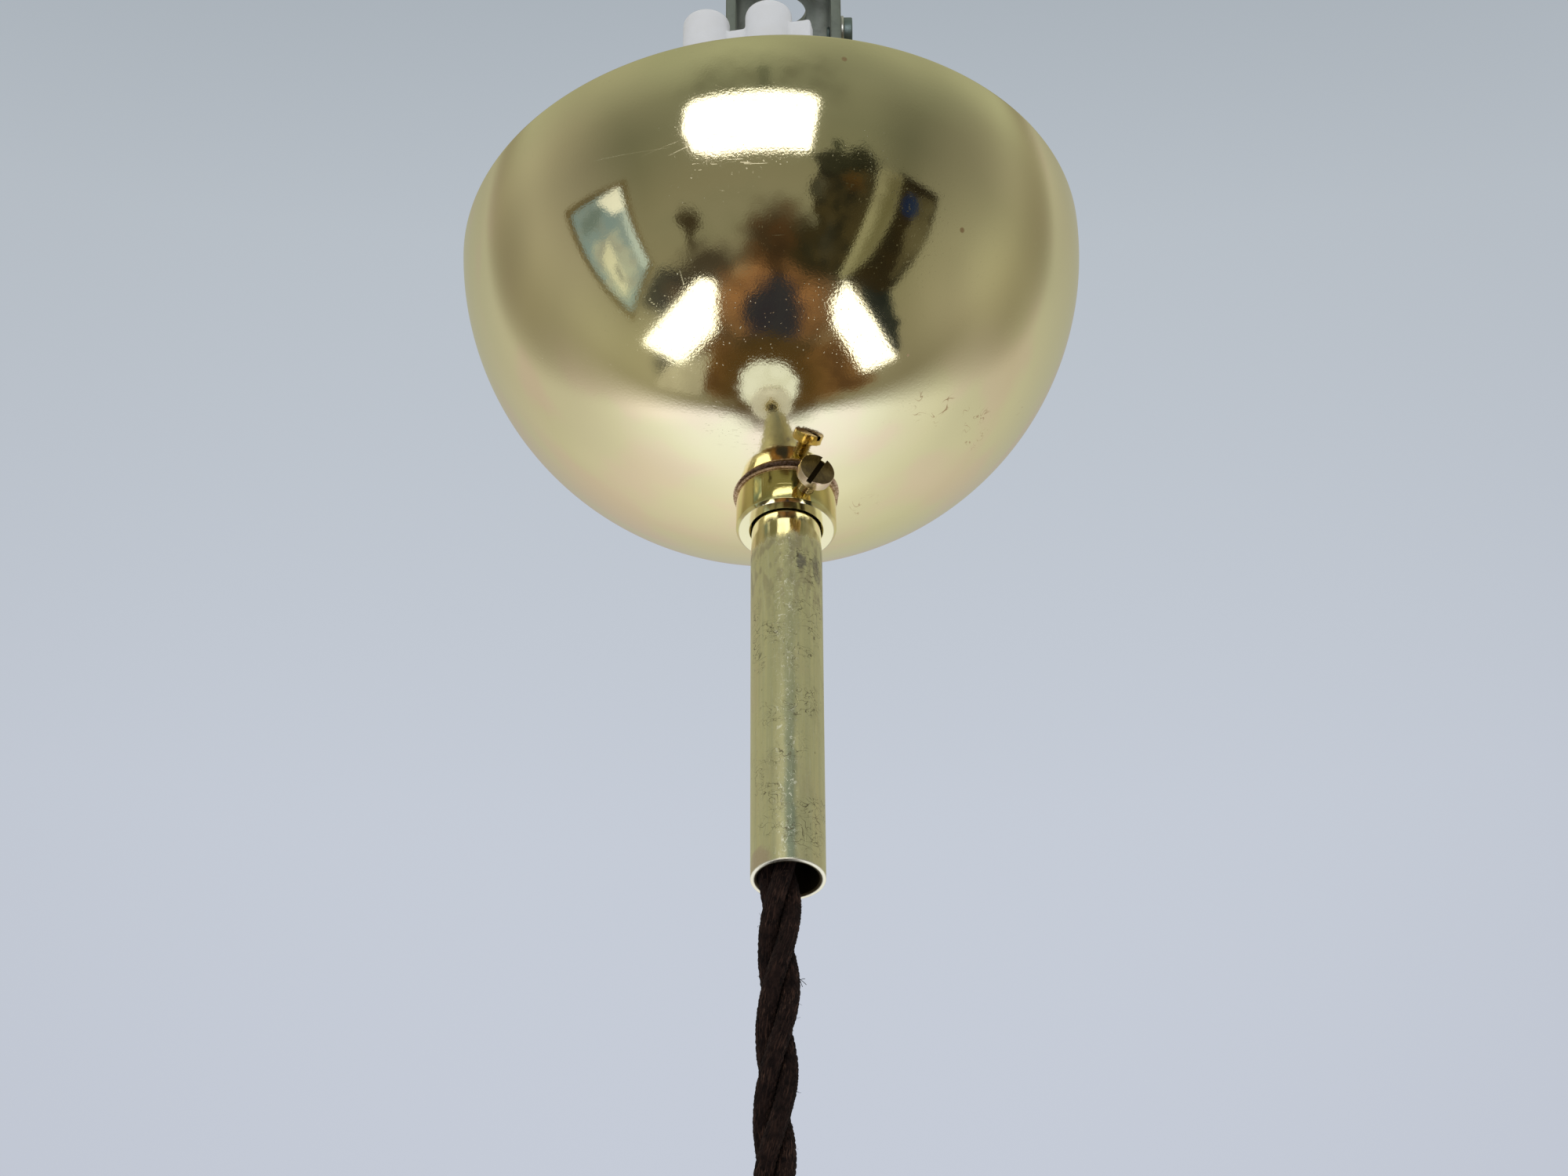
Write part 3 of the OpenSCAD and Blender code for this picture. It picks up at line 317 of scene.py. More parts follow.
# Dim furniture and a window in the room in front: corners (or centre and half sizes), two colours
# that mix in clouds, softness, amount, and whether the outline is ragged
WOOD = (0.028, 0.02, 0.009), (0.02, 0.016, 0.009), 0.008, 1, 0
ROOM = [
    ([(-25, 33), (21, 33), (24, 20), (-26, 19)], (0.17, 0.18, 0.13), (0.13, 0.13, 0.09), 0.12, 0.6, 1),
    ([(-4.2, 32), (0, 32), (-1, 19), (-3, 19)], (0.09, 0.1, 0.07), (0.09, 0.1, 0.07), 0.012, 0.6, 0),
    ((-12, -24, 0.5, 0.16), (0.24, 0.24, 0.17), (0.22, 0.22, 0.15), 0.6, 0.7, 0),
    ([(-98, -53), (-72, -45), (-50, -38), (-34, -44), (-40, -75), (-98, -71)],
     (0.05, 0.05, 0.045), (0.018, 0.018, 0.016), 0.07, 0.9, 1),
    ((-55, -41, 0.14, 0.11), (0.018, 0.02, 0.03), (0.06, 0.06, 0.05), 0.4, 0.95, 1),
    ([(-60, -58), (60, -58), (104, -55), (113, -70), (-110, -69)],
     (0.19, 0.095, 0.032), (0.095, 0.05, 0.022), 0.06, 0.95, 1),
    ((1, -62, 0.52, 0.2), (0.17, 0.085, 0.035), (0.09, 0.05, 0.024), 0.35, 0.9, 1),
    ((-33, -26, 0.05, 0.12), (0.05, 0.038, 0.018), (0.03, 0.022, 0.012), 0.5, 0.9, 1),
    ((-31, -41, 0.20, 0.13), (0.04, 0.03, 0.02), (0.06, 0.05, 0.035), 0.5, 0.92, 1),
    ((30, -48, 0.17, 0.16), (0.03, 0.026, 0.018), (0.09, 0.08, 0.06), 0.5, 0.9, 1),
    ((2, -38, 0.19, 0.26), (0.035, 0.02, 0.009), (0.09, 0.045, 0.018), 0.5, 0.95, 1),
    ((1, -56, 0.32, 0.21), (0.36, 0.18, 0.08), (0.17, 0.085, 0.038), 0.45, 0.92, 1),
    ((3, -44, 0.06, 0.17), (0.035, 0.022, 0.012), (0.05, 0.03, 0.015), 0.5, 0.85, 1),
    ((20, -37, 0.15, 0.19), (0.02, 0.018, 0.01), (0.04, 0.03, 0.014), 0.45, 0.95, 1),
    ((2, -61, 0.18, 0.19), (0.014, 0.019, 0.036), (0.035, 0.035, 0.045), 0.35, 0.95, 1),
    ((2, -74, 0.22, 0.07), (0.07, 0.05, 0.025), (0.04, 0.03, 0.015), 0.5, 0.8, 1),
    ([(-88, -54), (-61, -66), (-105, -66), (-103, -51)],
     (0.42, 0.40, 0.32), (0.36, 0.34, 0.27), 0.016, 1, 0),
    ([(15.6, -6), (37.4, -1.5), (38.8, -17), (38.4, -30), (36, -43), (24, -44), (19, -32), (15.6, -19)],
     (0.05, 0.038, 0.016), (0.018, 0.017, 0.011), 0.016, 0.97, 1),
    ((19, -15, 0.045, 0.07), (0.08, 0.08, 0.06), (0.04, 0.04, 0.025), 0.5, 0.6, 1),
    ((29, -10, 0.06, 0.05), (0.085, 0.045, 0.012), (0.04, 0.025, 0.01), 0.5, 0.8, 1),
    ((26, -33, 0.05, 0.12), (0.06, 0.055, 0.04), (0.02, 0.02, 0.013), 0.6, 0.6, 1),
    ([(14.5, -5), (22, -1), (29, 1), (37.6, 0.5), (36.5, -4), (26, -6.5), (16, -8)],
     (0.012, 0.013, 0.008), (0.03, 0.03, 0.018), 0.012, 0.95, 1),
    ((24, 2.5, 0.045, 0.04), (0.03, 0.035, 0.02), (0.015, 0.017, 0.01), 0.4, 0.9, 1),
    ((31, 0, 0.04, 0.05), (0.012, 0.013, 0.008), (0.03, 0.03, 0.018), 0.4, 0.9, 1),
    ([(39, -40), (58, -37), (68, -39), (88, -47), (60, -49)],
     (0.02, 0.025, 0.022), (0.012, 0.016, 0.015), 0.02, 1, 1),
    ([(45.3, -0.4), (60.8, -0.8), (62.2, -15), (61.2, -28), (45.5, -22)], *WOOD),
    ([(44, -18), (61.8, -18), (60.5, -37), (56.5, -41), (34.7, -43)], *WOOD),
    ([(50.5, -4.2), (59.8, -3.2), (61.2, -15), (60, -33), (56.5, -32), (53.5, -18)],
     (0.125, 0.11, 0.065), (0.09, 0.077, 0.042), 0.012, 1, 1),
    ((51.6, -9.6, 0.056, 0.07), (0.012, 0.022, 0.07), (0.02, 0.035, 0.09), 0.15, 1, 0),
    ([(38.4, -2), (46.2, -1.2), (46.8, -16), (44, -33), (37.6, -43.5), (34.6, -43.5)],
     (0.33, 0.32, 0.21), (0.27, 0.26, 0.17), 0.008, 1, 0),
    ([(42.5, -3), (46.4, -2), (46.6, -16), (43.7, -33), (38, -43)],
     (0.13, 0.12, 0.06), (0.17, 0.155, 0.08), 0.04, 0.85, 0),
    ([(-76.5, 5.4), (-51, 0.4), (-52.6, -31), (-77, -38.5), (-76.8, -18)],
     (0.17, 0.135, 0.065), (0.15, 0.12, 0.06), 0.005, 1, 0),
    ([(-74.3, 2.6), (-53.6, -0.7), (-54.2, -29.4), (-73.8, -36.5), (-74.9, -18)],
     (0.25, 0.36, 0.42), (0.31, 0.38, 0.40), 0.006, 1, 0),
    ((-68, -4, 0.07, 0.05), (0.13, 0.19, 0.19), (0.2, 0.27, 0.28), 0.5, 0.7, 1),
    ([(-72, -11), (-61, -12), (-58, -27), (-72, -34), (-74, -22)],
     (0.50, 0.55, 0.49), (0.36, 0.38, 0.36), 0.025, 0.9, 1),
    ([(-70, -17), (-64.5, -14), (-65.4, -27), (-71, -32)],
     (0.78, 0.80, 0.66), (0.74, 0.76, 0.62), 0.012, 1, 0),
    ([(-67.5, -22), (-65.6, -22), (-66.8, -28), (-69, -28)],
     (0.2, 0.22, 0.22), (0.2, 0.22, 0.22), 0.012, 0.8, 0),
    ([(-55.5, -1.1), (-53.6, -1), (-54.2, -29.4), (-58, -29.7), (-56.4, -14)],
     (0.62, 0.74, 0.78), (0.5, 0.62, 0.66), 0.012, 0.9, 0),
    ([(-63.5, -0.3), (-54.2, -0.4), (-53.9, -8.4), (-58.9, -8)],
     (1.1, 1.15, 1.1), (1.1, 1.15, 1.1), 0.009, 1, 0),
]

# Soft lighter and darker areas over all that metal mirrors: centre, half sizes and factor
SHADES = [
    (-62, 8, 0.3, 0.34, 0.74), (62, 11, 0.3, 0.36, 0.68), (-94, -46, 0.22, 0.24, 1.5),
    (-96, -24, 0.2, 0.14, 1.15), (92, -6, 0.16, 0.2, 1.2), (-58, 33, 0.3, 0.2, 1.28),
    (-14, 36, 0.26, 0.13, 1.25), (26, 39, 0.2, 0.16, 0.82), (-100, 32, 0.22, 0.26, 1.3),
    (104, 34, 0.2, 0.2, 1.12), (-103, 18, 0.18, 0.16, 0.8), (108, 22, 0.2, 0.14, 0.9),
    (79, 20, 0.16, 0.2, 0.88), (112, 43, 0.2, 0.12, 1.15), (126, -30, 0.5, 0.34, 0.82),
    (-126, -26, 0.4, 0.3, 0.86), (45, 0, 0.12, 0.4, 0.85)]

# Colours from straight below to straight above, as (height, colour)
BACKDROP = [(0.0, (0.52, 0.55, 0.61)), (0.70, (0.52, 0.56, 0.635)), (0.735, (0.553, 0.59, 0.672)),
            (0.78, (0.545, 0.585, 0.66)), (0.84, (0.475, 0.52, 0.57)), (0.865, (0.405, 0.45, 0.495)),
            (1.0, (0.37, 0.41, 0.46))]
SWEEP = [(0.04, (1.03, 1.08, 1.22)), (0.14, (0.93, 0.94, 0.95)), (0.25, (0.83, 0.83, 0.77)),
         (0.5, (0.59, 0.58, 0.50)), (0.68, (0.49, 0.485, 0.42)), (0.8, (0.43, 0.42, 0.35)),
         (0.9, (0.38, 0.375, 0.31)), (1.0, (0.33, 0.33, 0.29))]
WALLS = [(0.0, (0.28, 0.26, 0.19)), (0.35, (0.245, 0.235, 0.16)), (0.5, (0.205, 0.205, 0.14)),
         (0.60, (0.195, 0.20, 0.14)), (0.70, (0.225, 0.23, 0.165)), (0.78, (0.29, 0.30, 0.22)),
         (0.85, (0.37, 0.385, 0.28)), (1.0, (0.41, 0.42, 0.33))]
NADIR, DISC = (-0.02, -0.02, -1.0), (0.02, 0.035, -0.96)
DOME_CENTRE = Vector((0, 0, -0.064))


def make_world():
    scene.world = bpy.data.worlds.new("studio")
    t = emptied(scene.world)
    way = node(t, "TexCoord")
    x, y, z = split(way)
    height = summed(0.5, (z, 0.5))
    wide = abs(x)

    # What the camera sees: a pale blue-grey backdrop, darker towards the ceiling
    backdrop = mix(1.0, ramp(height, BACKDROP), 0.975, "MULTIPLY")
    glow = step(dot(way, direction(180, 36)), 0.968, 1.0)
    backdrop = mix(glow, backdrop, 1.055, "MULTIPLY")

    # What metal mirrors: a bright sweep behind and below, and a dimmer room in front
    sweep = ramp(height, SWEEP)
    pink = step(noise(way, 2.6, 2, 0.5), 0.45, 0.62)
    sweep = mix(1.0, sweep, mix(pink, (1.0, 1.02, 0.96), (1.03, 0.96, 0.99)), "MULTIPLY")
    room = ramp(height, WALLS)
    room = mix(step(wide, 0.70, 1.0) * 0.85, room, (0.42, 0.40, 0.31))
    ragged = minus(blown(way, (0.2,) * 3, 7.0, 3, 0.6), (0.1,) * 3)
    clouds = step(noise(way, 9.0, 4, 0.62), 0.38, 0.62)
    for shape, colour, other, soft, amount, rough in ROOM:
        at = ragged if rough else way
        mask = (patch(at, shape, soft) if isinstance(shape, list) else blob(at, *shape, soft)) * amount
        room = mix(mask, room, colour)
        if other != colour:
            room = mix(mask * clouds, room, other)

    # The edge between them, a darker line that is thin in the middle and soft at the sides
    high = step(z, -0.4, 0.2, 0.10, 0.20)
    bend = calc("MULTIPLY_ADD", x, high, -0.023)
    edge = y - calc("MULTIPLY_ADD", x, bend, 0.155)
    edge = edge / summed(0.042, (calc("POWER", wide, 3.0), 0.28))
    beyond = step(edge, -0.6, 1.2)
    line = step(abs(edge), 0.0, 1.5, 0.6, 0.0) * fade(wide - z, 0.95, 1.35, 0.35)
    dark = mix(wide, (0.06, 0.05, 0.045), (0.28, 0.25, 0.17))
    mirrored = mix(line, mix(beyond, room, sweep), dark)

    # A pale round lamp straight below, with a brown ring round it
    mirrored = mix(step(distance(ragged, NADIR), 0.38, 0.22, 0.0, 0.85), mirrored, (0.085, 0.05, 0.017))
    near = distance(blown(way, (0.08,) * 3, 16.0, 2, 0.6), DISC)
    folds = step(noise(way, 13.0, 3, 0.6), 0.45, 0.7)
    mirrored = mix(step(near, 0.187, 0.160), mirrored, mix(folds, (0.84, 0.88, 0.88), (0.66, 0.68, 0.60)))
    for *shape, factor in SHADES:
        mirrored = mix(blob(way, *shape, 0.9), mirrored, factor, "MULTIPLY")

    # Only the ray that needs a part works it out
    path = node(t, "LightPath").socket.node.outputs
    camera_ray, glossy, transmitted = [Wire(path["Is " + kind + " Ray"])
                                       for kind in ("Camera", "Glossy", "Transmission")]
    through = largest(camera_ray, transmitted)
    plain, mirror, seen = [node(t, "Background", {"Color": colour, "Strength": 1.0})
                           for colour in (rgba((0.66, 0.66, 0.67)), mirrored, backdrop)]
    surface = node(t, "MixShader", {0: glossy, 1: plain, 2: mirror})
    node(t, "OutputWorld", {0: node(t, "MixShader", {0: through, 1: surface, 2: seen})})


def light_card(name, corners, far, radiance):
    """Glowing card that covers an area of the sky, seen from the canopy."""
    rays = [direction(*corner) for corner in corners]
    middle = sum(rays, Vector()).normalized()
    points = [(DOME_CENTRE + ray * far / ray.dot(middle)) * 1000 for ray in rays]
    obj = mesh_object(name, points, [range(len(points))])
    m = bpy.data.materials.new(name)
    t = emptied(m)
    node(t, "OutputMaterial", {0: node(t, "Emission", {"Color": (1.0, 0.99, 0.96, 1), "Strength": radiance})})
    obj.data.materials.append(m)
    obj.visible_camera = obj.visible_shadow = False


make_world()
LAMP = 2.3
light_card("lamp_front", [(-28, 17), (-25.5, 19.6), (-10, 20.2), (13, 20), (16, 18), (13.5, -2), (12, -3),
                          (-20, -3.2), (-26, 0), (-29, 8)], 2.2, LAMP)
light_card("lamp_low_left", [(-82, -44.5), (-36, -43.5), (-30, -46), (-31, -50), (-44, -61.5), (-81, -59)],
           1.7, LAMP)
light_card("lamp_low_right", [(37, -53), (38.5, -44), (88.5, -47.5), (88, -59.5), (46, -59)], 1.7, LAMP)

bpy.ops.mesh.primitive_grid_add(x_subdivisions=8, y_subdivisions=8, size=50, location=(0, 0, -2.3))
floor = bpy.context.object
floor.name = "floor"
floor.visible_glossy = False


# ---------------------------------------------------------------- materials, with places in metres
MATERIALS = {}


def material(name):
    """New material, kept under its slot's name, and its object coordinates."""
    m = MATERIALS[name] = bpy.data.materials.new(name)
    return m, node(emptied(m), "TexCoord", out=3)


def surface(m, colour, bump=None, **values):
    """Shader and output of a material; its bump is (height, distance) or (height, distance, strength)."""
    t = m.node_tree
    sockets = {key.replace("_", " "): value for key, value in values.items()}
    if bump:
        sockets["Normal"] = node(t, "Bump", dict(zip(("Height", "Distance", "Strength"), (*bump, 1.0))))
    node(t, "OutputMaterial", {0: node(t, "BsdfPrincipled", {"Base Color": colour, **sockets})})


def spots(at, places):
    """Soft ellipsoids in the piece's own space, from centres and half sizes in millimetres."""
    masks = []
    for centre, radii in places:
        moved = stretched(minus(at, Vector(centre) / 1000), [1000 / r for r in radii])
        masks.append(fade(length(moved), 0.6, 1.0))
    return largest(*masks)


def metal(name, colour, dark, rough, blotch=(90, 0.25), grain=0.00001, scuffs=0.4, lathed=0.0, tones_with_painted_light=None):
    """Metal with cloudy tarnish, fine scratches, faint turning lines and a roughness that follows."""
    m, at = material(name)
    fine = noise(at, 2600, 3, 0.6)
    lines = streaky(at, (900, 5000, 240), 2, 0.5, (0.4, 0.9, 0.3))
    cross = streaky(at, (5200, 800, 300), 2, 0.5, (0.2, 2.1, 1.1))
    rings = streaky(at, (30, 30, 5500), 2, 0.6)
    scratch = step(largest(lines, cross), 0.62, 0.74)
    tarnish = step(noise(at, blotch[0], 4, 0.6), 0.42, 0.78, 0.0, blotch[1])
    col = layered(colour, (tarnish, 1, dark), (scratch, scuffs * 0.35, dark))
    # A piece's painted light, as on the clamp screw, goes over its colour here
    surface(m, tones_with_painted_light(at, col) if tones_with_painted_light else col,
            (summed(fine * 0.5, (scratch, -0.6), (rings, lathed)), grain), Metallic=1.0,
            Roughness=summed(rough - 0.06, (fine, 0.12), (tarnish, 0.25), (scratch, scuffs * 0.12)))


def clamp_screw_painted_light(at, old):
    """On the clamp screw: a dark face and slot, a painted reflection of the dark room, with the slot's floor
    painted darkest as shade; a dark thread; and a head side painted golden above and paler below, a painted
    reflection.
    """
    axis = direction(SCREW_TURN, 0)
    at = minus(at, (0, 0, SCREW_Z / 1000))
    along = dot(at, axis)
    off = length(vector_calc("CROSS_PRODUCT", at, axis))
    streak = step(noise(at, 900, 3, 0.6), 0.35, 0.65)

    def past(low, high, *to):
        return step(along, (SCREW_FACE + low) / 1000, (SCREW_FACE + high) / 1000, *to)

    thread = step(off, 0.0018, 0.0016) * step(along, 0.0118, 0.0116) * step(along, 0.0075, 0.0085, 0.0, 0.8)
    slot = step(off, 0.003, 0.0028) * past(-1.1, -1.0)
    # Painted light: the head side golden above and paler below, the face and slot dark as they mirror the room,
    # the slot's floor darkest
    return layered(
        old,
        (step(along, 0.0113, 0.0116), 0.75,
         mix(step(split(at)[2], -0.0012, 0.0014), (0.80, 0.65, 0.52), (0.84, 0.62, 0.24))),
        (thread, 1, (0.42, 0.31, 0.11)),
        (largest(slot, past(-0.1, -0.04)), 0.9, mix(streak, (0.30, 0.21, 0.10), (0.15, 0.10, 0.05))),
        (slot * past(-0.2, -0.3), 1, (0.03, 0.02, 0.012)))


def scratch_line(at, start, end, width):
    """Mask of one straight hairline across a surface between two points."""
    a, b = Vector(start) / 1000, Vector(end) / 1000
    middle, along = (a + b) / 2, b - a
    across = along.cross(middle - DOME_CENTRE).normalized()
    moved = minus(at, middle)
    off, run = abs(dot(moved, across)), abs(dot(moved, along.normalized()))
    half = along.length / 2
    return fade(off, width / 2000, width / 1000) * fade(run, half * 0.7, half)


# Places on the dome with brown scratch marks, small dark dots, dust with painted glints and pale hairlines
SQUIGGLES = [((25, -13.5, -110), (5.5, 5.5, 4)), ((13, 5, -116.5), (4, 3.5, 2)),
             ((33, -3, -106.5), (3.5, 6, 4)), ((40.5, 1, -98), (1.5, 2, 1.5)), ((31, -9, -107), (2, 2, 2))]
DOTS = [((29.6, -35.8, -90.6), 0.6), ((10.1, -53.3, -67.9), 0.6), ((20.5, -24, -108), 0.3),
        ((-21, -20, -109.5), 0.3), ((26, -21, -106.5), 0.25), ((8.8, -14.8, -117), 0.35)]
DUST_AND_GLINT_PLACES = [((-16, -46.4, -90), (5, 5, 6)), ((-17.6, -37.5, -101.4), (4, 4, 4)), ((-5, -52, -77), (14, 5, 4)),
         ((-5, -51, -86.5), (13, 5, 3)), ((14, -48, -84), (7, 6, 6)), ((0, -33, -107), (16, 12, 9)),
         ((-12, -28, -110), (7, 7, 4)), ((13, -28, -110), (7, 7, 4))]
HAIRLINES = [((-33, -42.5, -81), (-18, -48.5, -83.6), 0.06),
             ((-19.5, -48, -85), (-15.5, -49.5, -83.9), 0.12),
             ((-24, -46, -83.6), (-17, -49, -82.6), 0.06),
             ((-17.5, -38, -101), (-16.6, -36, -103), 0.12)]


def polished_brass():
    """Mirror-bright spun brass: hairlines, fine dust painted pale as glints, soft clouds of tarnish and a few
    brown marks.
    """
    m, at = material("polished_brass")
    cloud = noise(at, 30, 3, 0.5)
    warm = step(noise(at, 17, 2, 0.4), 0.40, 0.68)
    green = step(noise(stretched(at, (1, 1, 1), (1.0, 2.0, 0.5)), 23, 2, 0.4), 0.42, 0.7)
    fine = noise(at, 2300, 2, 0.6)
    # Dust specks: real dust, with a near-white colour that is a painted glint
    dust_and_glints = dots(blown(at, (0.0004,) * 3, 2600, 2), 1100.0, 0.06, 0.14)
    dust_and_glint_areas = largest(spots(at, DUST_AND_GLINT_PLACES) * 0.9, step(noise(at, 110, 2), 0.56, 0.7, 0.0, 0.6))
    dust_and_glints = dust_and_glints * dust_and_glint_areas
    hair = largest(streaky(at, (2600, 2600, 90), 1, 0.5, (0.9, 0.4, 0.2)),
                   streaky(at, (120, 3000, 3000), 1, 0.5, (0.3, 0.5, 0.7)))
    scratch = step(hair, 0.70, 0.76) * step(noise(at, 60, 1), 0.45, 0.62)
    lines = largest(*[scratch_line(at, *line) for line in HAIRLINES])
    squiggle = band(noise(at, 260, 1, 0.4, distortion=1.5), 0.5, 0.005, 0.016)
    squiggle = squiggle * step(noise(at, 420, 1), 0.42, 0.56)
    marks = largest(spots(at, SQUIGGLES) * squiggle, spots(at, [(c, (r, r, r)) for c, r in DOTS]))
    # The collar is yellower and its underside is painted paler as a painted highlight; the washer and the crown
    # over it are dull brown
    x, y, z = split(at)
    small = fade(off_axis(x, y), 0.0089, 0.0091)
    low = small * step(z, -0.11947, -0.11952)
    seat = small * step(z, -0.11950, -0.11947)
    # Painted highlight: the collar's underside is painted paler
    painted_underside_highlight = step(z, -0.12615, -0.12625)
    yellow = mix(painted_underside_highlight, mix(warm, (0.86, 0.79, 0.41), (0.86, 0.73, 0.40)), (0.90, 0.85, 0.62))
    col = layered(
        stained((0.87, 0.80, 0.54), (cloud, 0.35, 0.75, 0.14, (0.70, 0.58, 0.33))),
        (warm, 0.45, (0.90, 0.755, 0.55)), (green, 0.35, (0.80, 0.80, 0.47)),
        (marks, 0.6, (0.36, 0.15, 0.07)), (dust_and_glints, 0.4, (0.95, 0.95, 0.85)), (low, 1, yellow),
        (seat, 1, mix(step(fine, 0.4, 0.6), (0.34, 0.22, 0.12), (0.60, 0.43, 0.30))))
    level = summed(0.07, (step(cloud, 0.4, 0.7), 0.03), (dust_and_glints, 0.3), (scratch, 0.12), (lines, 0.16),
                   (marks, 0.25), (seat, 0.3))
    height = summed(scratch * -0.5, (dust_and_glints, -1.0), (lines, -0.5), (fine, summed(0.8, (dust_and_glint_areas, 0.9))))
    surface(m, col, (height, 0.000012, 0.6), Metallic=fade(seat, 0.0, 1.0, 0.8), Roughness=level)


# Places on the stem with dark scuffs
SCUFFED = [((3.2, -5.0, -139.0), (2.4, 3, 5.5)), ((2.0, -5.6, -136.0), (1.2, 3, 2.6)),
           ((4.9, -3.4, -137.5), (1.6, 3, 4.5)), ((4.9, -3.4, -148.0), (1.2, 3, 7.0)),
           ((4.2, -4.2, -164.5), (2.0, 3, 3.0)), ((-4.4, -4.0, -157.0), (1.4, 3, 2.4)),
           ((1.0, -5.8, -158.5), (1.2, 3, 2.2)), ((3.0, -5.0, -155.5), (2.2, 3, 1.6)),
           ((-3.4, -4.8, -169.5), (0.8, 3, 2.2)), ((-5.0, -3.2, -151.0), (0.9, 3, 9.0))]


def aged_brass():
    """Stem: bright under the collar, then dull with lengthwise streaks, nicks, dark scuffs and stains."""
    m, at = material("aged_brass")
    x, y, z = split(at)
    inner = step(off_axis(x, y), 0.0056, 0.0053)
    # The end face is painted near white: a painted highlight on the bare cut metal
    end = step(z, -0.19622, -0.1964)
    flat = stretched(at, (1, 1, 0.5))
    bright = step(summed(z, (x, -0.15), (noise(flat, 620, 5, 0.75), 0.0046)), -0.1302, -0.1284)
    streaks = streaky(at, (1500, 1500, 28), 4, 0.6)
    threads = streaky(at, (3600, 3600, 160), 3, 0.6)
    cloud = noise(at, 70, 4, 0.62)
    stain = noise(stretched(at, (1, 1, 0.6), (0.4, 0.1, 0.9)), 150, 5, 0.7)
    fine = noise(at, 3200, 3, 0.6)
    grit = noise(at, 1500, 4, 0.7)
    rub = streaky(at, (700, 700, 160), 4, 0.7, (0.1, 0.1, 0))
    nick = streaky(at, (900, 900, 330), 1, 0.5, (0.5, 0.4, 0.2))
    nicks = step(nick, 0.71, 0.76)
    worn = (1.0 - bright) * (1.0 - end)

    scuffs = largest(band(noise(at, 330, 1, 0.4, distortion=1.8), 0.5, 0.004, 0.016),
                     band(noise(stretched(at, (1, 1, 2.2)), 420, 1, 0.4), 0.52, 0.004, 0.014))
    where = largest(spots(at, SCUFFED), step(noise(at, 95, 2), 0.56, 0.66))
    scuffs = scuffs * step(grit, 0.36, 0.48) * where * worn
    specks = dots(stretched(at, (1, 1, 0.6)), 700.0, 0.07, 0.13) * step(noise(at, 330, 1), 0.50, 0.6) * worn
    ragged = minus(blown(at, (0.0022,) * 3, 800, 3, 0.7), (0.0011,) * 3)
    smudge = largest(spots(ragged, [((2.4, -5.5, -136.9), (0.9, 3, 2.2))]),
                     spots(ragged, [((4.9, -3.5, -137.2), (0.8, 3, 3.4))]) * 0.7)
    smudge = smudge * worn * step(grit, 0.36, 0.6, 0.5, 1.0)

    # Angle round the stem from the viewer's side, for a painted reflection band, painted shade and hairlines
    # painted as glints beside the band
    around = summed(calc("ARCTAN2", x, y * -1.0), (noise(at, 160, 3), 0.3))
    # Painted reflection: a dim grey-green band down the stem, stronger lower down
    grey_reflection_band = band(around, 0.22, 0.04, 0.26) * step(z, -0.139, -0.192, 0.2, 1.0)
    # Painted shade: the colour darkens towards the side that faces the viewer
    front_painted_shade = step(abs(around), 0.1, 0.5, 0.82, 1.0)
    # Pale hairlines: scratches, painted pale as glints only near the line that faces the viewer
    hair = largest(band(noise(flat, 620, 2, 0.5, distortion=0.6), 0.5, 0.005, 0.014),
                   band(noise(at, 900, 1, 0.5, distortion=1.2), 0.47, 0.004, 0.012))
    hair = hair * step(grit, 0.46, 0.54) * band(around, 0.12, 0.15, 0.42, 0.12) * worn
    dull = step(nick, 0.45, 0.62, 0.0, 0.55) * step(z, -0.155, -0.136)
    pinkish = spots(ragged, [((-4.9, -3.6, -195.8), (2.9, 4, 3.4))])
    col = stained(
        (0.65, 0.61, 0.315), (streaks, 0.35, 0.75, 0.55, (0.50, 0.50, 0.29)),
        (cloud, 0.45, 0.8, 0.5, (0.62, 0.50, 0.31)), (stain, 0.52, 0.68, 0.35, (0.42, 0.40, 0.22)),
        (threads, 0.55, 0.72, 0.3, (0.74, 0.72, 0.48)), (grit, 0.55, 0.75, 0.35, (0.36, 0.34, 0.20)))
    col = layered(col, (dull, 1, (0.36, 0.30, 0.19)), (pinkish, 0.6, (0.50, 0.36, 0.26)))
    # The painted shade is laid over the colour here
    col = mix(1.0, col, node(at.tree, "CombineColor", {0: front_painted_shade, 1: front_painted_shade, 2: front_painted_shade}), "MULTIPLY")
    col = layered(
        col, (grey_reflection_band, 0.95, (0.20, 0.235, 0.155)), (hair, 0.6, (0.95, 0.93, 0.76)),
        (smudge, 0.8, (0.17, 0.155, 0.14)), (scuffs, 0.85, (0.12, 0.10, 0.055)),
        (specks, 0.6, (0.16, 0.14, 0.07)), (bright, 1, (0.88, 0.81, 0.52)), (end, 1, (1.0, 0.97, 0.86)),
        (inner, 1, (0.07, 0.055, 0.03)))
    level = summed(0.22, (fine, 0.1), (streaks, 0.16), (step(rub, 0.4, 0.7), 0.1), (nicks, -0.15),
                   (bright, -0.24), (inner, 0.3))
    height = summed(streaks * 0.4, (nicks, -1.6), (hair, -0.4), (scuffs, -0.8), (grit, 0.7), (fine, 0.5),
                    (rub, 0.8))
    surface(m, col, (height * largest(worn, 0.04), 0.000016),
            Metallic=fade(worn * (1.0 - inner), 0.0, 1.0, 0.62), Roughness=level)


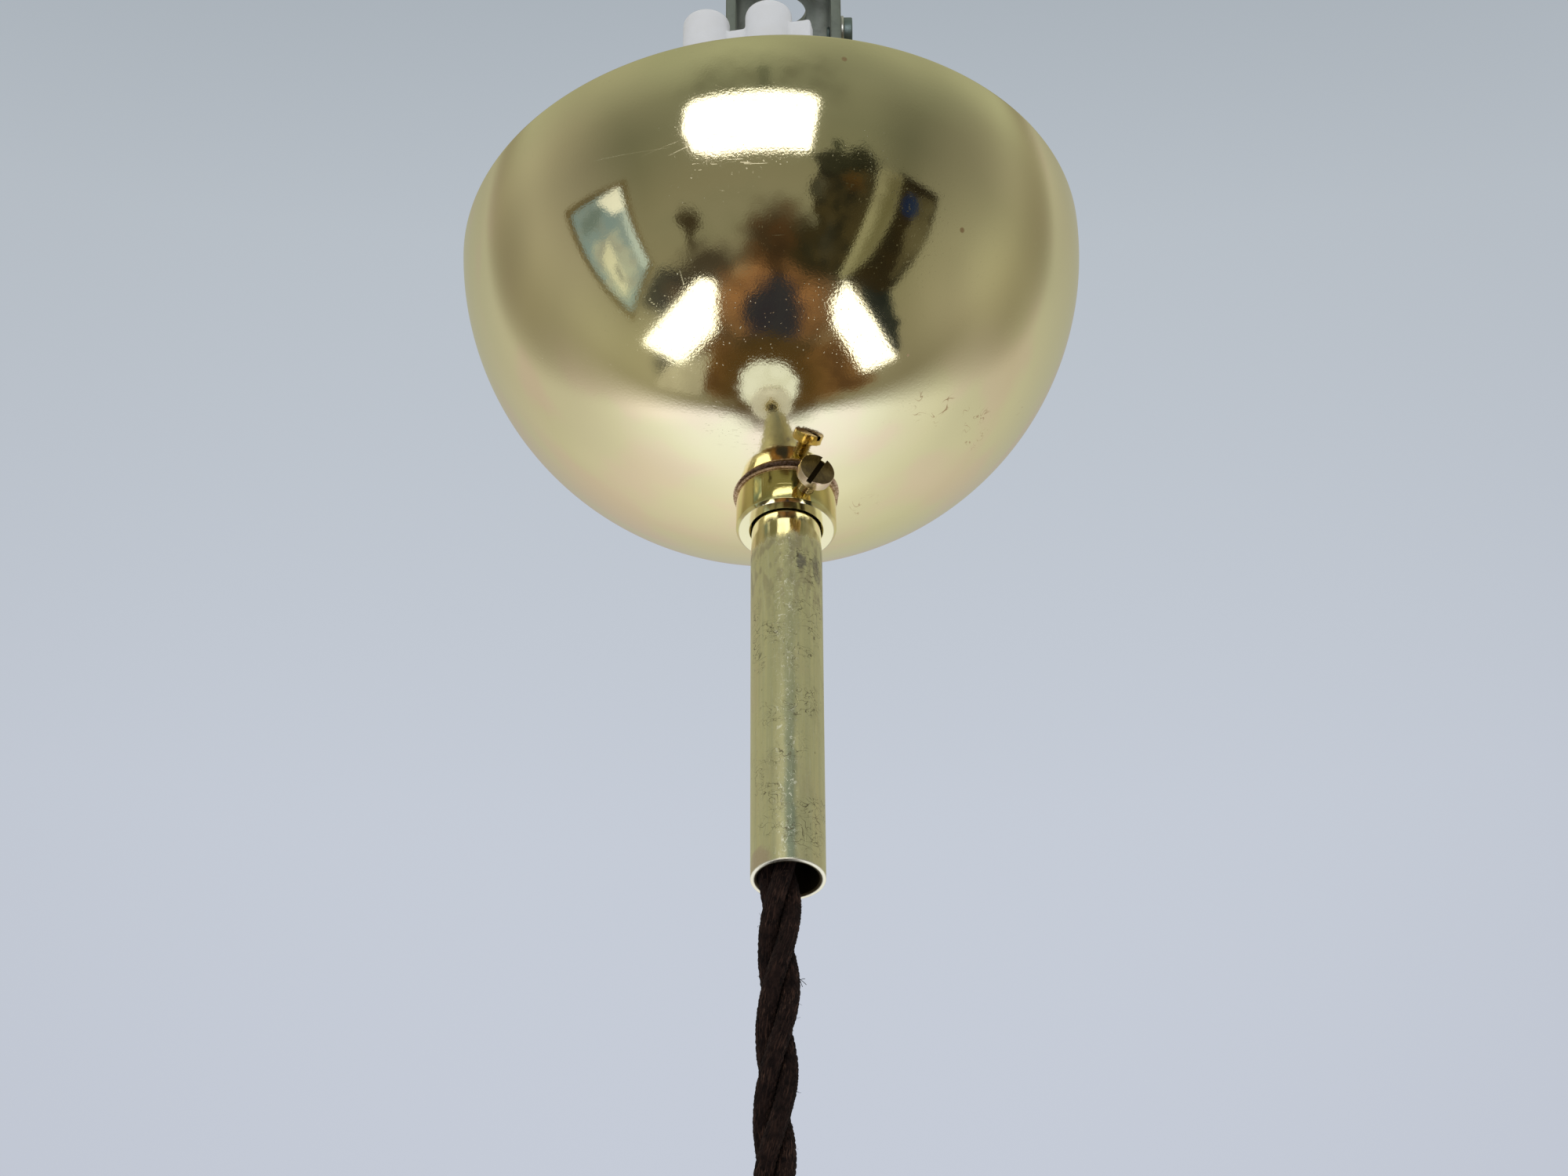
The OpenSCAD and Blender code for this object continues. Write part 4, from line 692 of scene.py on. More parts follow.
def braid_cloth():
    """Dark brown cotton: colour from yarn to yarn, and pale fibres along the yarns."""
    m, at = material("cord_braid")
    bent = blown(node(at.tree, "UVMap", uv_map="UVMap"), (0.05, 0.12, 0), 500, 2, at=at)
    fibres = streaky(bent, (34, 3.2, 1), 4, 0.6)
    hairs = streaky(bent, (80, 5, 1), 2, 0.5)
    areas = noise(at, 260, 2, 0.5)
    tan = step(fibres, 0.50, 0.62) * step(areas, 0.35, 0.65, 0.3, 1.0)
    pale = step(hairs, 0.62, 0.72) * step(areas, 0.42, 0.7, 0.1, 1.0)
    col = mix(step(noise(at, 700, 2, 0.5), 0.3, 0.7), (0.005, 0.0025, 0.0022), (0.015, 0.0075, 0.0055))
    col = layered(col, (tan, 1, (0.046, 0.023, 0.015)), (pale, 1, (0.13, 0.075, 0.05)))
    surface(m, col, (summed(hairs * 0.5, (fibres, 0.8)), 0.00012), Roughness=0.9, Sheen_Weight=0.03,
            Sheen_Roughness=0.5, Sheen_Tint=(0.5, 0.4, 0.4, 1), Specular_IOR_Level=0.12)


def porcelain(name, colour, glazed):
    """Cream porcelain with a faint cloud, a few iron specks and, where glazed, a slightly wavy coat."""
    m, at = material(name)
    specks = dots(at, 420.0, 0.04, 0.10) * step(noise(at, 150), 0.56, 0.62)
    col = stained(colour, (noise(at, 55), 0.3, 0.7, 0.5, [c * 0.93 for c in colour]))
    col = layered(col, (specks, 0.55, (0.32, 0.22, 0.13)))
    if glazed:
        surface(m, col, (noise(at, 240, 2), 0.00003), Roughness=0.16, Coat_Weight=0.6, Coat_Roughness=0.05)
    else:
        surface(m, col, (noise(at, 2400, 4, 0.7), 0.00004), Roughness=summed(0.5, (noise(at, 1800), 0.3)))


def moulded_white():
    """White moulded plastic: half gloss, a touch of flow and handling marks."""
    m, at = material("white_block")
    col = stained((0.83, 0.84, 0.85), (noise(at, 130), 0.35, 0.7, 0.6, (0.78, 0.78, 0.77)),
                  (noise(at, 900, 4, 0.7), 0.66, 0.8, 0.35, (0.5, 0.47, 0.42)))
    surface(m, col, (noise(at, 1500), 0.00002), Roughness=summed(0.25, (noise(at, 700), 0.25)),
            Subsurface_Weight=0.08, Subsurface_Radius=(0.001, 0.001, 0.001))


def rubber():
    m, at = material("core_rubber")
    surface(m, mix(noise(at, 500), (0.022, 0.022, 0.022), (0.05, 0.048, 0.045)),
            (noise(at, 2500), 0.00003), Roughness=summed(0.45, (noise(at, 1200), 0.3)))


def floor_paint():
    m, at = material("floor_paint")
    surface(m, mix(noise(at, 3, 4), (0.76, 0.81, 0.91), (0.80, 0.85, 0.95)), Roughness=0.95)


polished_brass()
aged_brass()
for metal_name, *looks in (
        ("turned_brass", (0.80, 0.67, 0.36), (0.45, 0.33, 0.15), 0.2, (140, 0.3), 0.00001, 0.4, 0.8),
        ("screw_brass", (0.74, 0.58, 0.33), (0.42, 0.29, 0.16), 0.2, (300, 0.5), 0.000004, 0.6, 0.0,
         clamp_screw_painted_light),
        ("zinc_steel", (0.30, 0.335, 0.33), (0.19, 0.205, 0.2), 0.5, (160, 0.6), 0.00001, 0.2),
        ("dark_steel", (0.22, 0.28, 0.29), (0.10, 0.12, 0.12), 0.45, (300, 0.6)),
        ("tinned", (0.66, 0.67, 0.66), (0.4, 0.4, 0.38), 0.3, (200, 0.5)),
        ("spring_steel", (0.5, 0.5, 0.5), (0.3, 0.3, 0.3), 0.3),
        ("copper", (0.76, 0.42, 0.27), (0.4, 0.2, 0.12), 0.3, (500, 0.5))):
    metal(metal_name, *looks)
moulded_white()
porcelain("glazed_porcelain", (0.9, 0.885, 0.83), True)
porcelain("plain_porcelain", (0.80, 0.77, 0.69), False)
braid_cloth()
rubber()
floor_paint()
floor.data.materials.append(MATERIALS["floor_paint"])
for name, obj in nodes.items():
    for material_slot in obj.material_slots:
        material_slot.material = MATERIALS[SLOT[name]]


# ---------------------------------------------------------------- mesh helpers
def dress(obj, replaced, sharp=30):
    """Smooth shading, material, body and slot of the CAD node that the piece stands for."""
    data = obj.data
    data.shade_smooth()
    data.set_sharp_from_angle(angle=math.radians(sharp))
    data.materials.clear()
    data.materials.append(MATERIALS[SLOT[replaced]])
    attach(obj, BODY[replaced])
    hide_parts(replaced)
    return obj


def rounded(points, steps=4):
    """Closed profile of (r, z) or (r, z, fillet) points, with an arc at each corner that has a fillet.
    Points (r, z, None, wave) stay as they are and keep their wave."""
    out = []
    for i, (r, z, *more) in enumerate(points):
        here = np.array([r, z])
        u, v = np.array(points[i - 1][:2]) - here, np.array(points[(i + 1) % len(points)][:2]) - here
        lu, lv = np.linalg.norm(u), np.linalg.norm(v)
        sharp = not more or not more[0] or lu < 1e-9 or lv < 1e-9
        if not sharp:
            u, v = u / lu, v / lv
            half = math.acos(max(-1.0, min(1.0, float(u @ v)))) / 2
            sharp = half > 1.5
        if sharp:
            out.append((r, z, *more[1:]))
            continue
        reach = min(more[0] / math.tan(half), 0.48 * lu, 0.48 * lv)
        radius = reach * math.tan(half)
        centre = here + (u + v) / np.linalg.norm(u + v) * radius / math.sin(half)
        a, b = here + u * reach - centre, here + v * reach - centre
        angle = math.pi - 2 * half
        for w in np.arange(steps + 1) / steps:
            p = centre + (math.sin((1 - w) * angle) * a + math.sin(w * angle) * b) / math.sin(angle)
            out.append((p[0], p[1]))
    return out


def lathe(profile, segments):
    """Closed surface round the Z axis from (r, z) points, or (r, z, wave) points whose wave gives
    what to add to the radius at each angle. Points on the axis close it there."""
    area = sum(p[0] * q[1] - q[0] * p[1] for p, q in zip(profile[-1:] + profile[:-1], profile))
    if area < 0:  # the faces would look inwards
        profile = profile[::-1]
    points, rows = [], []
    angles = np.arange(segments) * 2 * np.pi / segments
    for r, z, *wave in profile:
        if r < 1e-9:
            rows.append([len(points)] * segments)
            points.append((0.0, 0.0, z))
            continue
        radius = r + (wave[0](angles) if wave else 0 * angles)
        rows.append(list(range(len(points), len(points) + segments)))
        points.extend(zip(radius * np.cos(angles), radius * np.sin(angles), np.full(segments, z)))
    faces = []
    for a, b in zip(rows, rows[1:] + rows[:1]):
        if a[0] == a[-1] and b[0] == b[-1]:
            continue
        for k in range(segments):
            n = (k + 1) % segments
            corner = [a[k], a[n], b[n], b[k]]
            face = [v for j, v in enumerate(corner) if v != corner[j - 1]]
            if len(face) > 2:
                faces.append(face)
    return np.array(points), faces


def shift(x, y, z):
    return Matrix.Translation((x, y, z))


def turn(degrees, axis):
    return Matrix.Rotation(math.radians(degrees), 4, axis)


def moved(points, matrix):
    m = np.array(matrix or Matrix())
    return points @ m[:3, :3].T + m[:3, 3]


def turned(name, profile, segments, matrix=None, steps=4):
    points, faces = lathe(rounded(profile, steps), segments)
    return mesh_object(name, moved(points, matrix), faces)


def baked(obj):
    """Applies an object's modifiers to its mesh, and joins points that they leave at one place."""
    graph = bpy.context.evaluated_depsgraph_get()
    graph.update()
    data = bpy.data.meshes.new_from_object(obj.evaluated_get(graph))
    welded = bmesh.new()
    welded.from_mesh(data)
    bmesh.ops.remove_doubles(welded, verts=welded.verts, dist=2e-8)
    welded.to_mesh(data)
    welded.free()
    obj.modifiers.clear()
    old, obj.data = obj.data, data
    bpy.data.meshes.remove(old)
    return obj


def boolean(obj, tools, operation="DIFFERENCE"):
    for tool in tools:
        m = obj.modifiers.new("cut", "BOOLEAN")
        m.operation, m.solver, m.object = operation, "EXACT", tool
    baked(obj)
    for tool in tools:
        bpy.data.objects.remove(tool)
    return obj


def bevelled(obj, width, segments=2):
    m = obj.modifiers.new("bevel", "BEVEL")
    m.width, m.segments, m.limit_method, m.angle_limit = width / 1000, segments, "ANGLE", math.radians(30)
    return baked(obj)


def rod(r, z0, z1, matrix=None, segments=48):
    return turned("rod", [(0, z0), (r, z0), (r, z1), (0, z1)], segments, matrix)


def drill(r, z0, z1, matrix=None, bevel=0.2, segments=48):
    """Tool for a hole from one face to another, with a small bevel at both faces."""
    wide = r + bevel + 1
    return turned("drill", [(0, z0 - 1), (wide, z0 - 1), (r, z0 + bevel), (r, z1 - bevel), (wide, z1 + 1),
                            (0, z1 + 1)], segments, matrix)


def box(low, high, matrix=None):
    points = np.array([(x, y, z) for x in (low[0], high[0]) for y in (low[1], high[1])
                       for z in (low[2], high[2])])
    faces = [(0, 1, 3, 2), (4, 6, 7, 5), (0, 4, 5, 1), (2, 3, 7, 6), (0, 2, 6, 4), (1, 5, 7, 3)]
    return mesh_object("box", moved(points, matrix), faces)


def joined(name, objects):
    """One object from several, with all their meshes."""
    points, faces = [], []
    for obj in objects:
        base = len(points)
        points.extend([tuple(v.co * 1000) for v in obj.data.vertices])
        faces.extend([[base + i for i in p.vertices] for p in obj.data.polygons])
        bpy.data.objects.remove(obj)
    return mesh_object(name, points, faces)


def vee(phase):
    """V-shaped thread: 1 at the crest and -1 at the root."""
    return 1 - 4 * np.abs((phase + 0.5) % 1.0 - 0.5)


def swell(phase):
    return np.cos(2 * np.pi * phase)


def thread_rows(r, z0, z1, pitch, depth, shape=vee, per_pitch=8):
    """Profile rows of a threaded stretch round its middle radius, faded out at both ends."""
    rows = []
    for z in np.linspace(z0, z1, max(8, int(round(abs(z1 - z0) / pitch * per_pitch))) + 1):
        amount = depth / 2 * min(1.0, min(abs(z - z0), abs(z - z1)) / (0.5 * pitch))
        rows.append((r, z, None, lambda a, z=z, k=amount: k * shape(z / pitch - a / (2 * np.pi))))
    return rows


def slotted(obj, top, reach, angle, matrix, slot_w):
    """Cuts a screw's slot and puts the screw in its place."""
    slot = box((-reach, -slot_w / 2, top - SLOT_DEPTH), (reach, slot_w / 2, top + 1), turn(angle, "Z"))
    boolean(obj, [slot])
    place = matrix.copy()
    place.translation = place.translation / 1000
    obj.data.transform(place)
    return obj


def screw(name, d, length, head_d, head_h, slot_angle, matrix, slot_w=0.9, pitch=0.5):
    """Slotted screw along +Z with a real thread; the underside of its head is at the origin."""
    r, hr, depth = d / 2, head_d / 2, 0.55 * pitch
    profile = [(0, -length), (r - 0.4, -length)]
    profile += thread_rows(r - depth / 2, -length + 0.3, -0.3, pitch, depth)
    profile += [(r - 0.1, -0.1), (r - 0.1, 0), (hr, 0, 0.12), (hr, head_h, 0.2), (0, head_h)]
    return slotted(turned(name, profile, 64, steps=3), head_h, head_d, slot_angle, matrix, slot_w)


def grub(name, d, length, matrix, pitch, slot_angle, slot_w=0.9):
    """Headless slotted screw along +Z with its tip at the origin."""
    r, depth = d / 2, 0.55 * pitch
    profile = [(0, 0), (r - 0.45, 0)] + thread_rows(r - depth / 2, 0.4, length - 0.25, pitch, depth)
    profile += [(r - 0.25, length), (0, length)]
    return slotted(turned(name, profile, 56), length, d, slot_angle, matrix, slot_w)


# ---------------------------------------------------------------- routes and braided strands
def smooth(route, steps):
    p = [np.array(q, float) for q in route]
    out = []
    for i in range(len(p) - 1):
        a, b, c, d = p[max(i - 1, 0)], p[i], p[i + 1], p[min(i + 2, len(p) - 1)]
        for t in np.arange(steps) / steps:
            out.append(0.5 * (2 * b + (c - a) * t + (2 * a - 5 * b + 4 * c - d) * t * t
                              + (3 * b - a - 3 * c + d) * t ** 3))
    return np.array(out + [p[-1]])


def evenly(path, spacing):
    """The same path with points at an even spacing, and their distances from its start."""
    path = np.asarray(path, float)
    lengths = np.concatenate([[0], np.cumsum(np.linalg.norm(np.diff(path, axis=0), axis=1))])
    s = np.linspace(0, lengths[-1], max(3, int(lengths[-1] / spacing) + 1))
    return np.stack([np.interp(s, lengths, path[:, i]) for i in range(3)], 1), s


def frames(path, first=(0.3, 1.0, 0.1)):
    """Two unit vectors across the path at each of its points, without twist."""
    tangents = np.gradient(path, axis=0)
    tangents /= np.linalg.norm(tangents, axis=1)[:, None]
    u = np.array(first)
    us = []
    for t in tangents:
        u = u - (u @ t) * t
        u = u / np.linalg.norm(u)
        us.append(u)
    us = np.array(us)
    return us, np.cross(tangents, us)


def braid(s, phi, yarns=10, pitch=13.0):
    """Height of a braided sleeve, 0 to 1, at a distance along it and an angle round it."""
    w = 2 * np.pi / pitch
    a, b = yarns * (phi - w * s), yarns * (phi + w * s)
    over = np.cos(a / 2) * np.cos(b / 2)
    over = over / (np.abs(over) + 0.25)
    ha = np.sqrt(0.5 + 0.5 * np.cos(a)) * (0.72 + 0.28 * over)
    hb = np.sqrt(0.5 + 0.5 * np.cos(b)) * (0.72 - 0.28 * over)
    return np.maximum(ha, hb)


def strand(path, radius, around=56, spacing=0.16, relief=0.13, phase=0.0):
    """Points, faces and map of one closed strand along a path, braided where it has relief."""
    path, s = evenly(path, spacing)
    u, v = frames(path)
    phi = np.arange(around) * 2 * np.pi / around
    r = np.full((len(s), around), radius)
    if relief:
        h = braid(s[:, None], phi[None, :] + phase)
        knots = 0.5 + 0.5 * np.sin(s[:, None] * 4.3 + 2 * np.sin(phi[None, :] + s[:, None] * 0.9 + phase))
        r = radius - relief * (1 - h) - 0.45 * relief * knots * (0.6 + 0.4 * np.sin(s * 1.3 + phase))[:, None]
    ring = path[:, None, :] + r[..., None] * (np.cos(phi)[None, :, None] * u[:, None, :]
                                              + np.sin(phi)[None, :, None] * v[:, None, :])
    rows, n = len(path), around
    uv = np.stack([np.tile(phi / (2 * np.pi), rows), np.repeat(s / 10, n)], 1)
    faces = [(i * n + k, i * n + (k + 1) % n, (i + 1) * n + (k + 1) % n, (i + 1) * n + k)
             for i in range(rows - 1) for k in range(n)]
    faces += [tuple(range(n - 1, -1, -1)), tuple((rows - 1) * n + k for k in range(n))]
    return ring.reshape(-1, 3), faces, uv


def merge(parts):
    points, faces, uvs, base = [], [], [], 0
    for p, f, uv in parts:
        points.append(p)
        uvs.append(uv)
        faces += [tuple(base + i for i in face) for face in f]
        base += len(p)
    return np.concatenate(points), faces, np.concatenate(uvs)


def twisted(path, angle_at, around, spacing, relief):
    """Three strands laid round a path; angle_at gives the first strand's angle at a height."""
    path, _ = evenly(path, 0.5)
    u, _ = frames(path, (1.0, 0.0, 0.0))
    parts = []
    for k in range(3):
        a = np.array([angle_at(z) for z in path[:, 2]]) + k * 2 * np.pi / 3
        centre = path + CORE_RING * (np.cos(a)[:, None] * u + np.sin(a)[:, None] * np.cross(
            np.array([0, 0, 1.0]), u))
        parts.append(strand(centre, LEAD_R, around, spacing, relief, phase=1.7 * k))
    return merge(parts)


# ---------------------------------------------------------------- the cord comes first
def lay_angle(z):
    return 2 * math.pi * (z - LAY_FROM) / LAY_LENGTH


def stem_angle(z):
    """Inside the stem the lay is a little tighter, so that the cores meet their leads."""
    low, high = lay_angle(STEM_END), math.radians(STEM_LAY)
    return low + (high - low) * (z - STEM_END) / (CLAMP_TOP - STEM_END)


parts = [twisted(smooth(CORD_ROUTE, 3), lay_angle, 72, 0.12, 0.2)]
# Loose fibres that stand off the braid
for _ in range(FIBRES):
    z = rng.uniform(STEM_END - 58, STEM_END - 2)
    a = rng.uniform(0, 2 * math.pi)
    strand_angle = lay_angle(z) + int(rng.integers(3)) * 2 * math.pi / 3
    mid = np.array([np.interp(z, CORD_ROUTE[::-1, 2], CORD_ROUTE[::-1, 0]), 0, z])
    mid = mid + CORE_RING * np.array([math.cos(strand_angle), math.sin(strand_angle), 0])
    out = np.array([math.cos(a), math.sin(a), rng.uniform(-0.5, 0.5)])
    if out[:2] @ (mid[:2] - [-1.8, 0]) < 0:
        continue
    side = np.array([-math.sin(a), math.cos(a), rng.uniform(-1.5, 1.5)])
    start = mid + out * (LEAD_R - 0.15)
    reach, curl = rng.uniform(0.3, 0.9), rng.uniform(0.3, 1.2)
    curve = [start + reach * (out * q * rng.uniform(0.5, 1.0) + side * (q - q * q * curl))
             for q in np.linspace(0, 1, 5)]
    parts.append(strand(np.array(curve), 0.022, 5, 0.12, 0.0))
for start, end in (((1.5, -1.0, -215.4), (2.7, -1.2, -216.6)), ((1.5, -0.9, -215.7), (2.5, -1.3, -215.6)),
                   ((1.4, -1.2, -215.2), (2.1, -1.1, -216.9))):
    start, end = np.array(start), np.array(end)
    curve = [start + (end - start) * q + [0, 0, 0.5 * q * (1 - q)] for q in np.linspace(0, 1, 6)]
    parts.append(strand(np.array(curve), 0.05, 5, 0.12, 0.0))
cord = dress(mesh_object("cord_strands", *merge(parts)), "cord", sharp=80)

dress(mesh_object("stem_cord_strands", *twisted(
    smooth([[0, 0, CLAMP_TOP], [0, 0, STEM_TOP], [0, 0, BASE_UNDER], [-0.65, 0, -114.75],
            [-1.3, 0, -190.5], [-1.3, 0, STEM_END]], 6), stem_angle, 24, 0.4, 0.1)), "stem_cord", sharp=80)


def tag_point(along):
    return [13.1, *polar(along, -TAG_TILT, (0, EARTH_Z))]


def above(side, z):
    return POLES[side] + [0, 0, z]


BARE_FROM = -7.55
for name, start_angle, route, last, end in (
        ("live_lead", 90, LIVE_ROUTE, above(1, BARE_FROM - 3), above(1, BARE_FROM)),
        ("neutral_lead", 210, NEUTRAL_ROUTE, above(-1, BARE_FROM - 3), above(-1, BARE_FROM)),
        ("earth_lead", -30, EARTH_ROUTE, tag_point(13), tag_point(8))):
    core = np.array([*polar(CORE_RING, start_angle), CLAMP_TOP])
    way = [core + [0, 0, 0.8]] + [np.array(p) + [0, 0, CLAMP_TOP] for p in route] + [last]
    path = np.concatenate([[core], smooth(way, 8), [end]])
    dress(mesh_object(name + "_braid", *strand(path, LEAD_R, 48, 0.2, 0.12)), name, sharp=80)


def stranded(start, end, lay=9.0):
    """Seven fine wires laid round each other between two points."""
    path, s = evenly([start, end], 0.35)
    u, v = frames(path)
    wire = BARE_R / 3
    parts = [strand(path, wire, 10, 0.35, 0)]
    for k in range(6):
        a = (2 * np.pi * (s / lay + k / 6))[:, None]
        parts.append(strand(path + 2 * wire * (np.cos(a) * u + np.sin(a) * v), wire, 10, 0.35, 0))
    return merge(parts)


dress(mesh_object("lead_ends_stranded", *merge(
    [stranded(above(side, BARE_FROM), above(side, -0.6)) for side in (-1, 1)]
    + [stranded(tag_point(8), tag_point(5.2))])), "lead_ends")


# ---------------------------------------------------------------- canopy, collar and stem
def arc(centre, radius, start, end, count):
    """Profile points on an arc, with angles in degrees from +r towards +z."""
    return [polar(radius, a, centre) for a in np.linspace(start, end, count)]


low_out, low_in = [math.degrees(math.asin(6.5 / r)) for r in (CANOPY_R, CANOPY_IN)]
outer = arc((0, CANOPY_R), CANOPY_R, low_out - 90, 0, 170)
inner = arc((0, CANOPY_R), CANOPY_IN, 0, low_in - 90, 120)
outer[0], inner[-1] = (*outer[0], 0.2), (*inner[-1], 0.2)
dress(turned("canopy_shell", outer + [(CANOPY_R, 55.5, 0.3), (CANOPY_IN, 55.5, 0.3)] + inner, 360,
             shift(0, 0, CANOPY_PIVOT) @ turn(-CANOPY_LEAN, "Y") @ shift(0, 0, -CANOPY_SAG), 5), "canopy")
dress(turned("seat_washer_ring", [
    (6.25, WASHER[0], 0.1), (8.8, WASHER[0], 0.15), (8.8, WASHER[1], 0.15), (6.25, WASHER[1], 0.1)], 144),
    "seat_washer")

screw_frame = shift(0, 0, SCREW_Z) @ turn(SCREW_TURN, "Z") @ turn(90, "X")
collar = turned("collar_ring", [
    (6.2, COLLAR[0], 0.15), (8.0, COLLAR[0]), (8.5, COLLAR[0] + 0.5, 0.12), (8.5, COLLAR[1], 0.2),
    (6.2, COLLAR[1], 0.1)], 144)
dress(boolean(collar, [rod(1.55, 0, 12, screw_frame)]), "collar")
dress(screw("clamp_screw_cut", 3.0, 5.55, 6.2, 2.0, 63, screw_frame @ shift(0, 0, 11.6)), "clamp_screw")
WORN = [(5.95, -118.5), (5.875, -120.5), (5.875, -127.0), (5.885, -128.0), (5.895, -128.6), (5.908, -129.2),
        (5.923, -129.7), (5.941, -130.2), (5.96, -130.7), (5.978, -131.2), (5.992, -131.7)]
dress(turned("stem_tube", [(STEM_BORE, STEM_TOP, 0.1), (STEM_R, STEM_TOP, 0.2), (STEM_R, -117.0)] + WORN + [
    (STEM_R, -132.3), (STEM_R, STEM_END, 0.1), (5.2, STEM_END, 0.04), (STEM_BORE, STEM_END + 0.2, 0.05)], 144),
    "stem")


# ---------------------------------------------------------------- hanger, earth terminal and nut
def strap_outline(half, top, bottom, crown_r, base_r):
    """Points (x, z) round a strap's loop; the same number for its outer and its inner face."""
    out = []
    for x, z, r, start in ((half, top, crown_r, 90), (half, bottom, base_r, 0),
                           (-half, bottom, base_r, -90), (-half, top, crown_r, -180)):
        out += arc((x - math.copysign(r, x), z - r if z == top else z + r), r, start, start - 90, 13)
    return out


outer = strap_outline(10.75, 1.0, BASE_UNDER, 5.0, 3.2)
inner = strap_outline(8.75, -1.0, BASE_TOP, 3.0, 1.2)
EDGE, section = 0.35, []
for sx, sy in ((1, 1), (-1, 1), (-1, -1), (1, -1)):
    corner = [(1 + sx * (1 - EDGE + c), sy * (7 - EDGE + s)) for c, s in arc((0, 0), EDGE, 0, 90, 4)]
    section += corner if sx * sy > 0 else corner[::-1]
n, rows = len(section), len(outer)
stirrup = mesh_object(
    "stirrup_strap",
    [(i[0] + (o[0] - i[0]) * t / 2, y, i[1] + (o[1] - i[1]) * t / 2)
     for o, i in zip(outer, inner) for t, y in section],
    [(i * n + k, i * n + (k + 1) % n, (i + 1) % rows * n + (k + 1) % n, (i + 1) % rows * n + k)
     for i in range(rows) for k in range(n)])
at_strap = shift(0, 0, EARTH_Z) @ turn(90, "Y")
dress(boolean(stirrup, [
    drill(4.25, -1, 1, bevel=0.3, segments=72), drill(6.05, BASE_UNDER, BASE_TOP, segments=72),
    drill(2.05, 8.75, 10.75, at_strap)]), "hanger_stirrup")
dress(screw("earth_screw_cut", 4.0, 3.2, 7.0, 1.6, 20, at_strap @ shift(0, 0, 11.35), 1.0, 0.7), "earth_screw")

tag = turned("earth_tag_crimped", [(2.2, 0, 0.1), (3.8, 0, 0.15), (3.8, 0.6, 0.15), (2.2, 0.6, 0.1)], 72,
             at_strap @ shift(0, 0, 10.75))
tilted = turn(-TAG_TILT, "X")
tongue = bevelled(box((0.02, 2.9, -1.5), (0.58, 5.2, 1.5), shift(10.75, 0, EARTH_Z) @ tilted), 0.1)
barrel = turned("barrel", [(0, 0), (1.85, 0, 0.3), (2.05, 0.4, 0.2), (2.05, 5.5, 0.12), (1.65, 5.5, 0.12),
                           (1.65, 0.6, 0.1), (0, 0.6)], 60,
                shift(*tag_point(4.5)) @ turn(-90 - TAG_TILT, "X"))
seam = box((1.4, 5.4, -0.12), (3.2, 10.5, 0.12), shift(13.1, 0, EARTH_Z) @ tilted)
dress(boolean(boolean(tag, [tongue, barrel], "UNION"), [seam]), "earth_tag")


def hexagon(flats, corner_r, z0, z1, bore):
    """Nut with round-turned corners at both faces, as a profile whose rows follow the hexagon."""
    def wave_at(r):
        def wave(a):
            flat = flats / 2 / np.cos((a + np.pi / 6) % (np.pi / 3) - np.pi / 6)
            return np.minimum(flat, r) - r
        return wave
    high = (corner_r - flats / 2) * math.tan(math.radians(30))
    least = flats / 2 - 0.25
    turning = [(least + (corner_r - least) * k / 6, high * k / 6) for k in range(7)]
    return ([(r, z0 + z, None, wave_at(r)) for r, z in turning]
            + [(r, z1 - z, None, wave_at(r)) for r, z in turning[::-1]]
            + [(bore + 0.3, z1), (bore, z1 - 0.3), (bore, z0 + 0.3), (bore + 0.3, z0)])


nut = turned("stem_nut_cut", hexagon(17.0, 17 / math.sqrt(3), -37.0, BASE_UNDER, 6.05), 192)
dress(nut, "stem_nut", sharp=25)

clamp = turned("cord_clamp_turned", [
    (6.05, BASE_TOP, 0.1), (7.6, BASE_TOP, 0.1), (8.0, BASE_TOP + 0.5, 0.2), (8.0, -28.3, 0.05),
    (7.7, -28.0, 0.05), (8.0, -27.7, 0.05), (8.0, CLAMP_TOP - 0.6, 0.2), (7.4, CLAMP_TOP, 0.2),
    (4.4, CLAMP_TOP, 0.2), (3.7, CLAMP_TOP - 0.7, 0.2), (3.7, STEM_TOP, 0.1), (6.05, STEM_TOP, 0.05)], 120)
dress(boolean(clamp, [drill(2.05, -8, 8, shift(0, 0, GRUB_Z) @ turn(90, "X"), 0.15)]), "cord_clamp")
dress(joined("cord_clamp_grubs", [
    grub("grub", 4.0, 4.15, shift(0, 0, GRUB_Z) @ turn(s, "Z") @ turn(90, "X") @ shift(0, 0, 3.55), 0.7,
         25 + s / 6) for s in (0, 180)]), "cord_clamp_screws")

# ---------------------------------------------------------------- terminal block
OUT = turn(-90, "X")
POLE = {side: shift(*POLES[side]) @ turn(BLOCK_TURN, "Z") for side in (-1, 1)}
TOWER = {side: [f @ shift(0, 0, z) @ OUT for z in (-3.75, 3.75)] for side, f in POLE.items()}
solids, tools, sleeves, screws = [], [], [], []
for side, f in POLE.items():
    solids.append(turned("s", [(0, -9.5), (4.3, -9.5, 0.7), (4.3, 9.5, 0.9), (0, 9.5)], 72, f))
    solids += [turned("s", [(0, 0), (3.3, 0), (3.15, 7.0, 0.5), (0, 7.0)], 64, tower) for tower in TOWER[side]]
solids.append(bevelled(box((0, -1.5, -5.5), (19.6, 1.5, 5.5), POLE[-1]), 0.4))
block = joined("terminal_block_moulded", solids)
m = block.modifiers.new("remesh", "REMESH")
m.mode, m.voxel_size = "VOXEL", BLOCK_VOXEL
m = block.modifiers.new("smooth", "SMOOTH")
m.factor, m.iterations = 0.5, 9
baked(block)
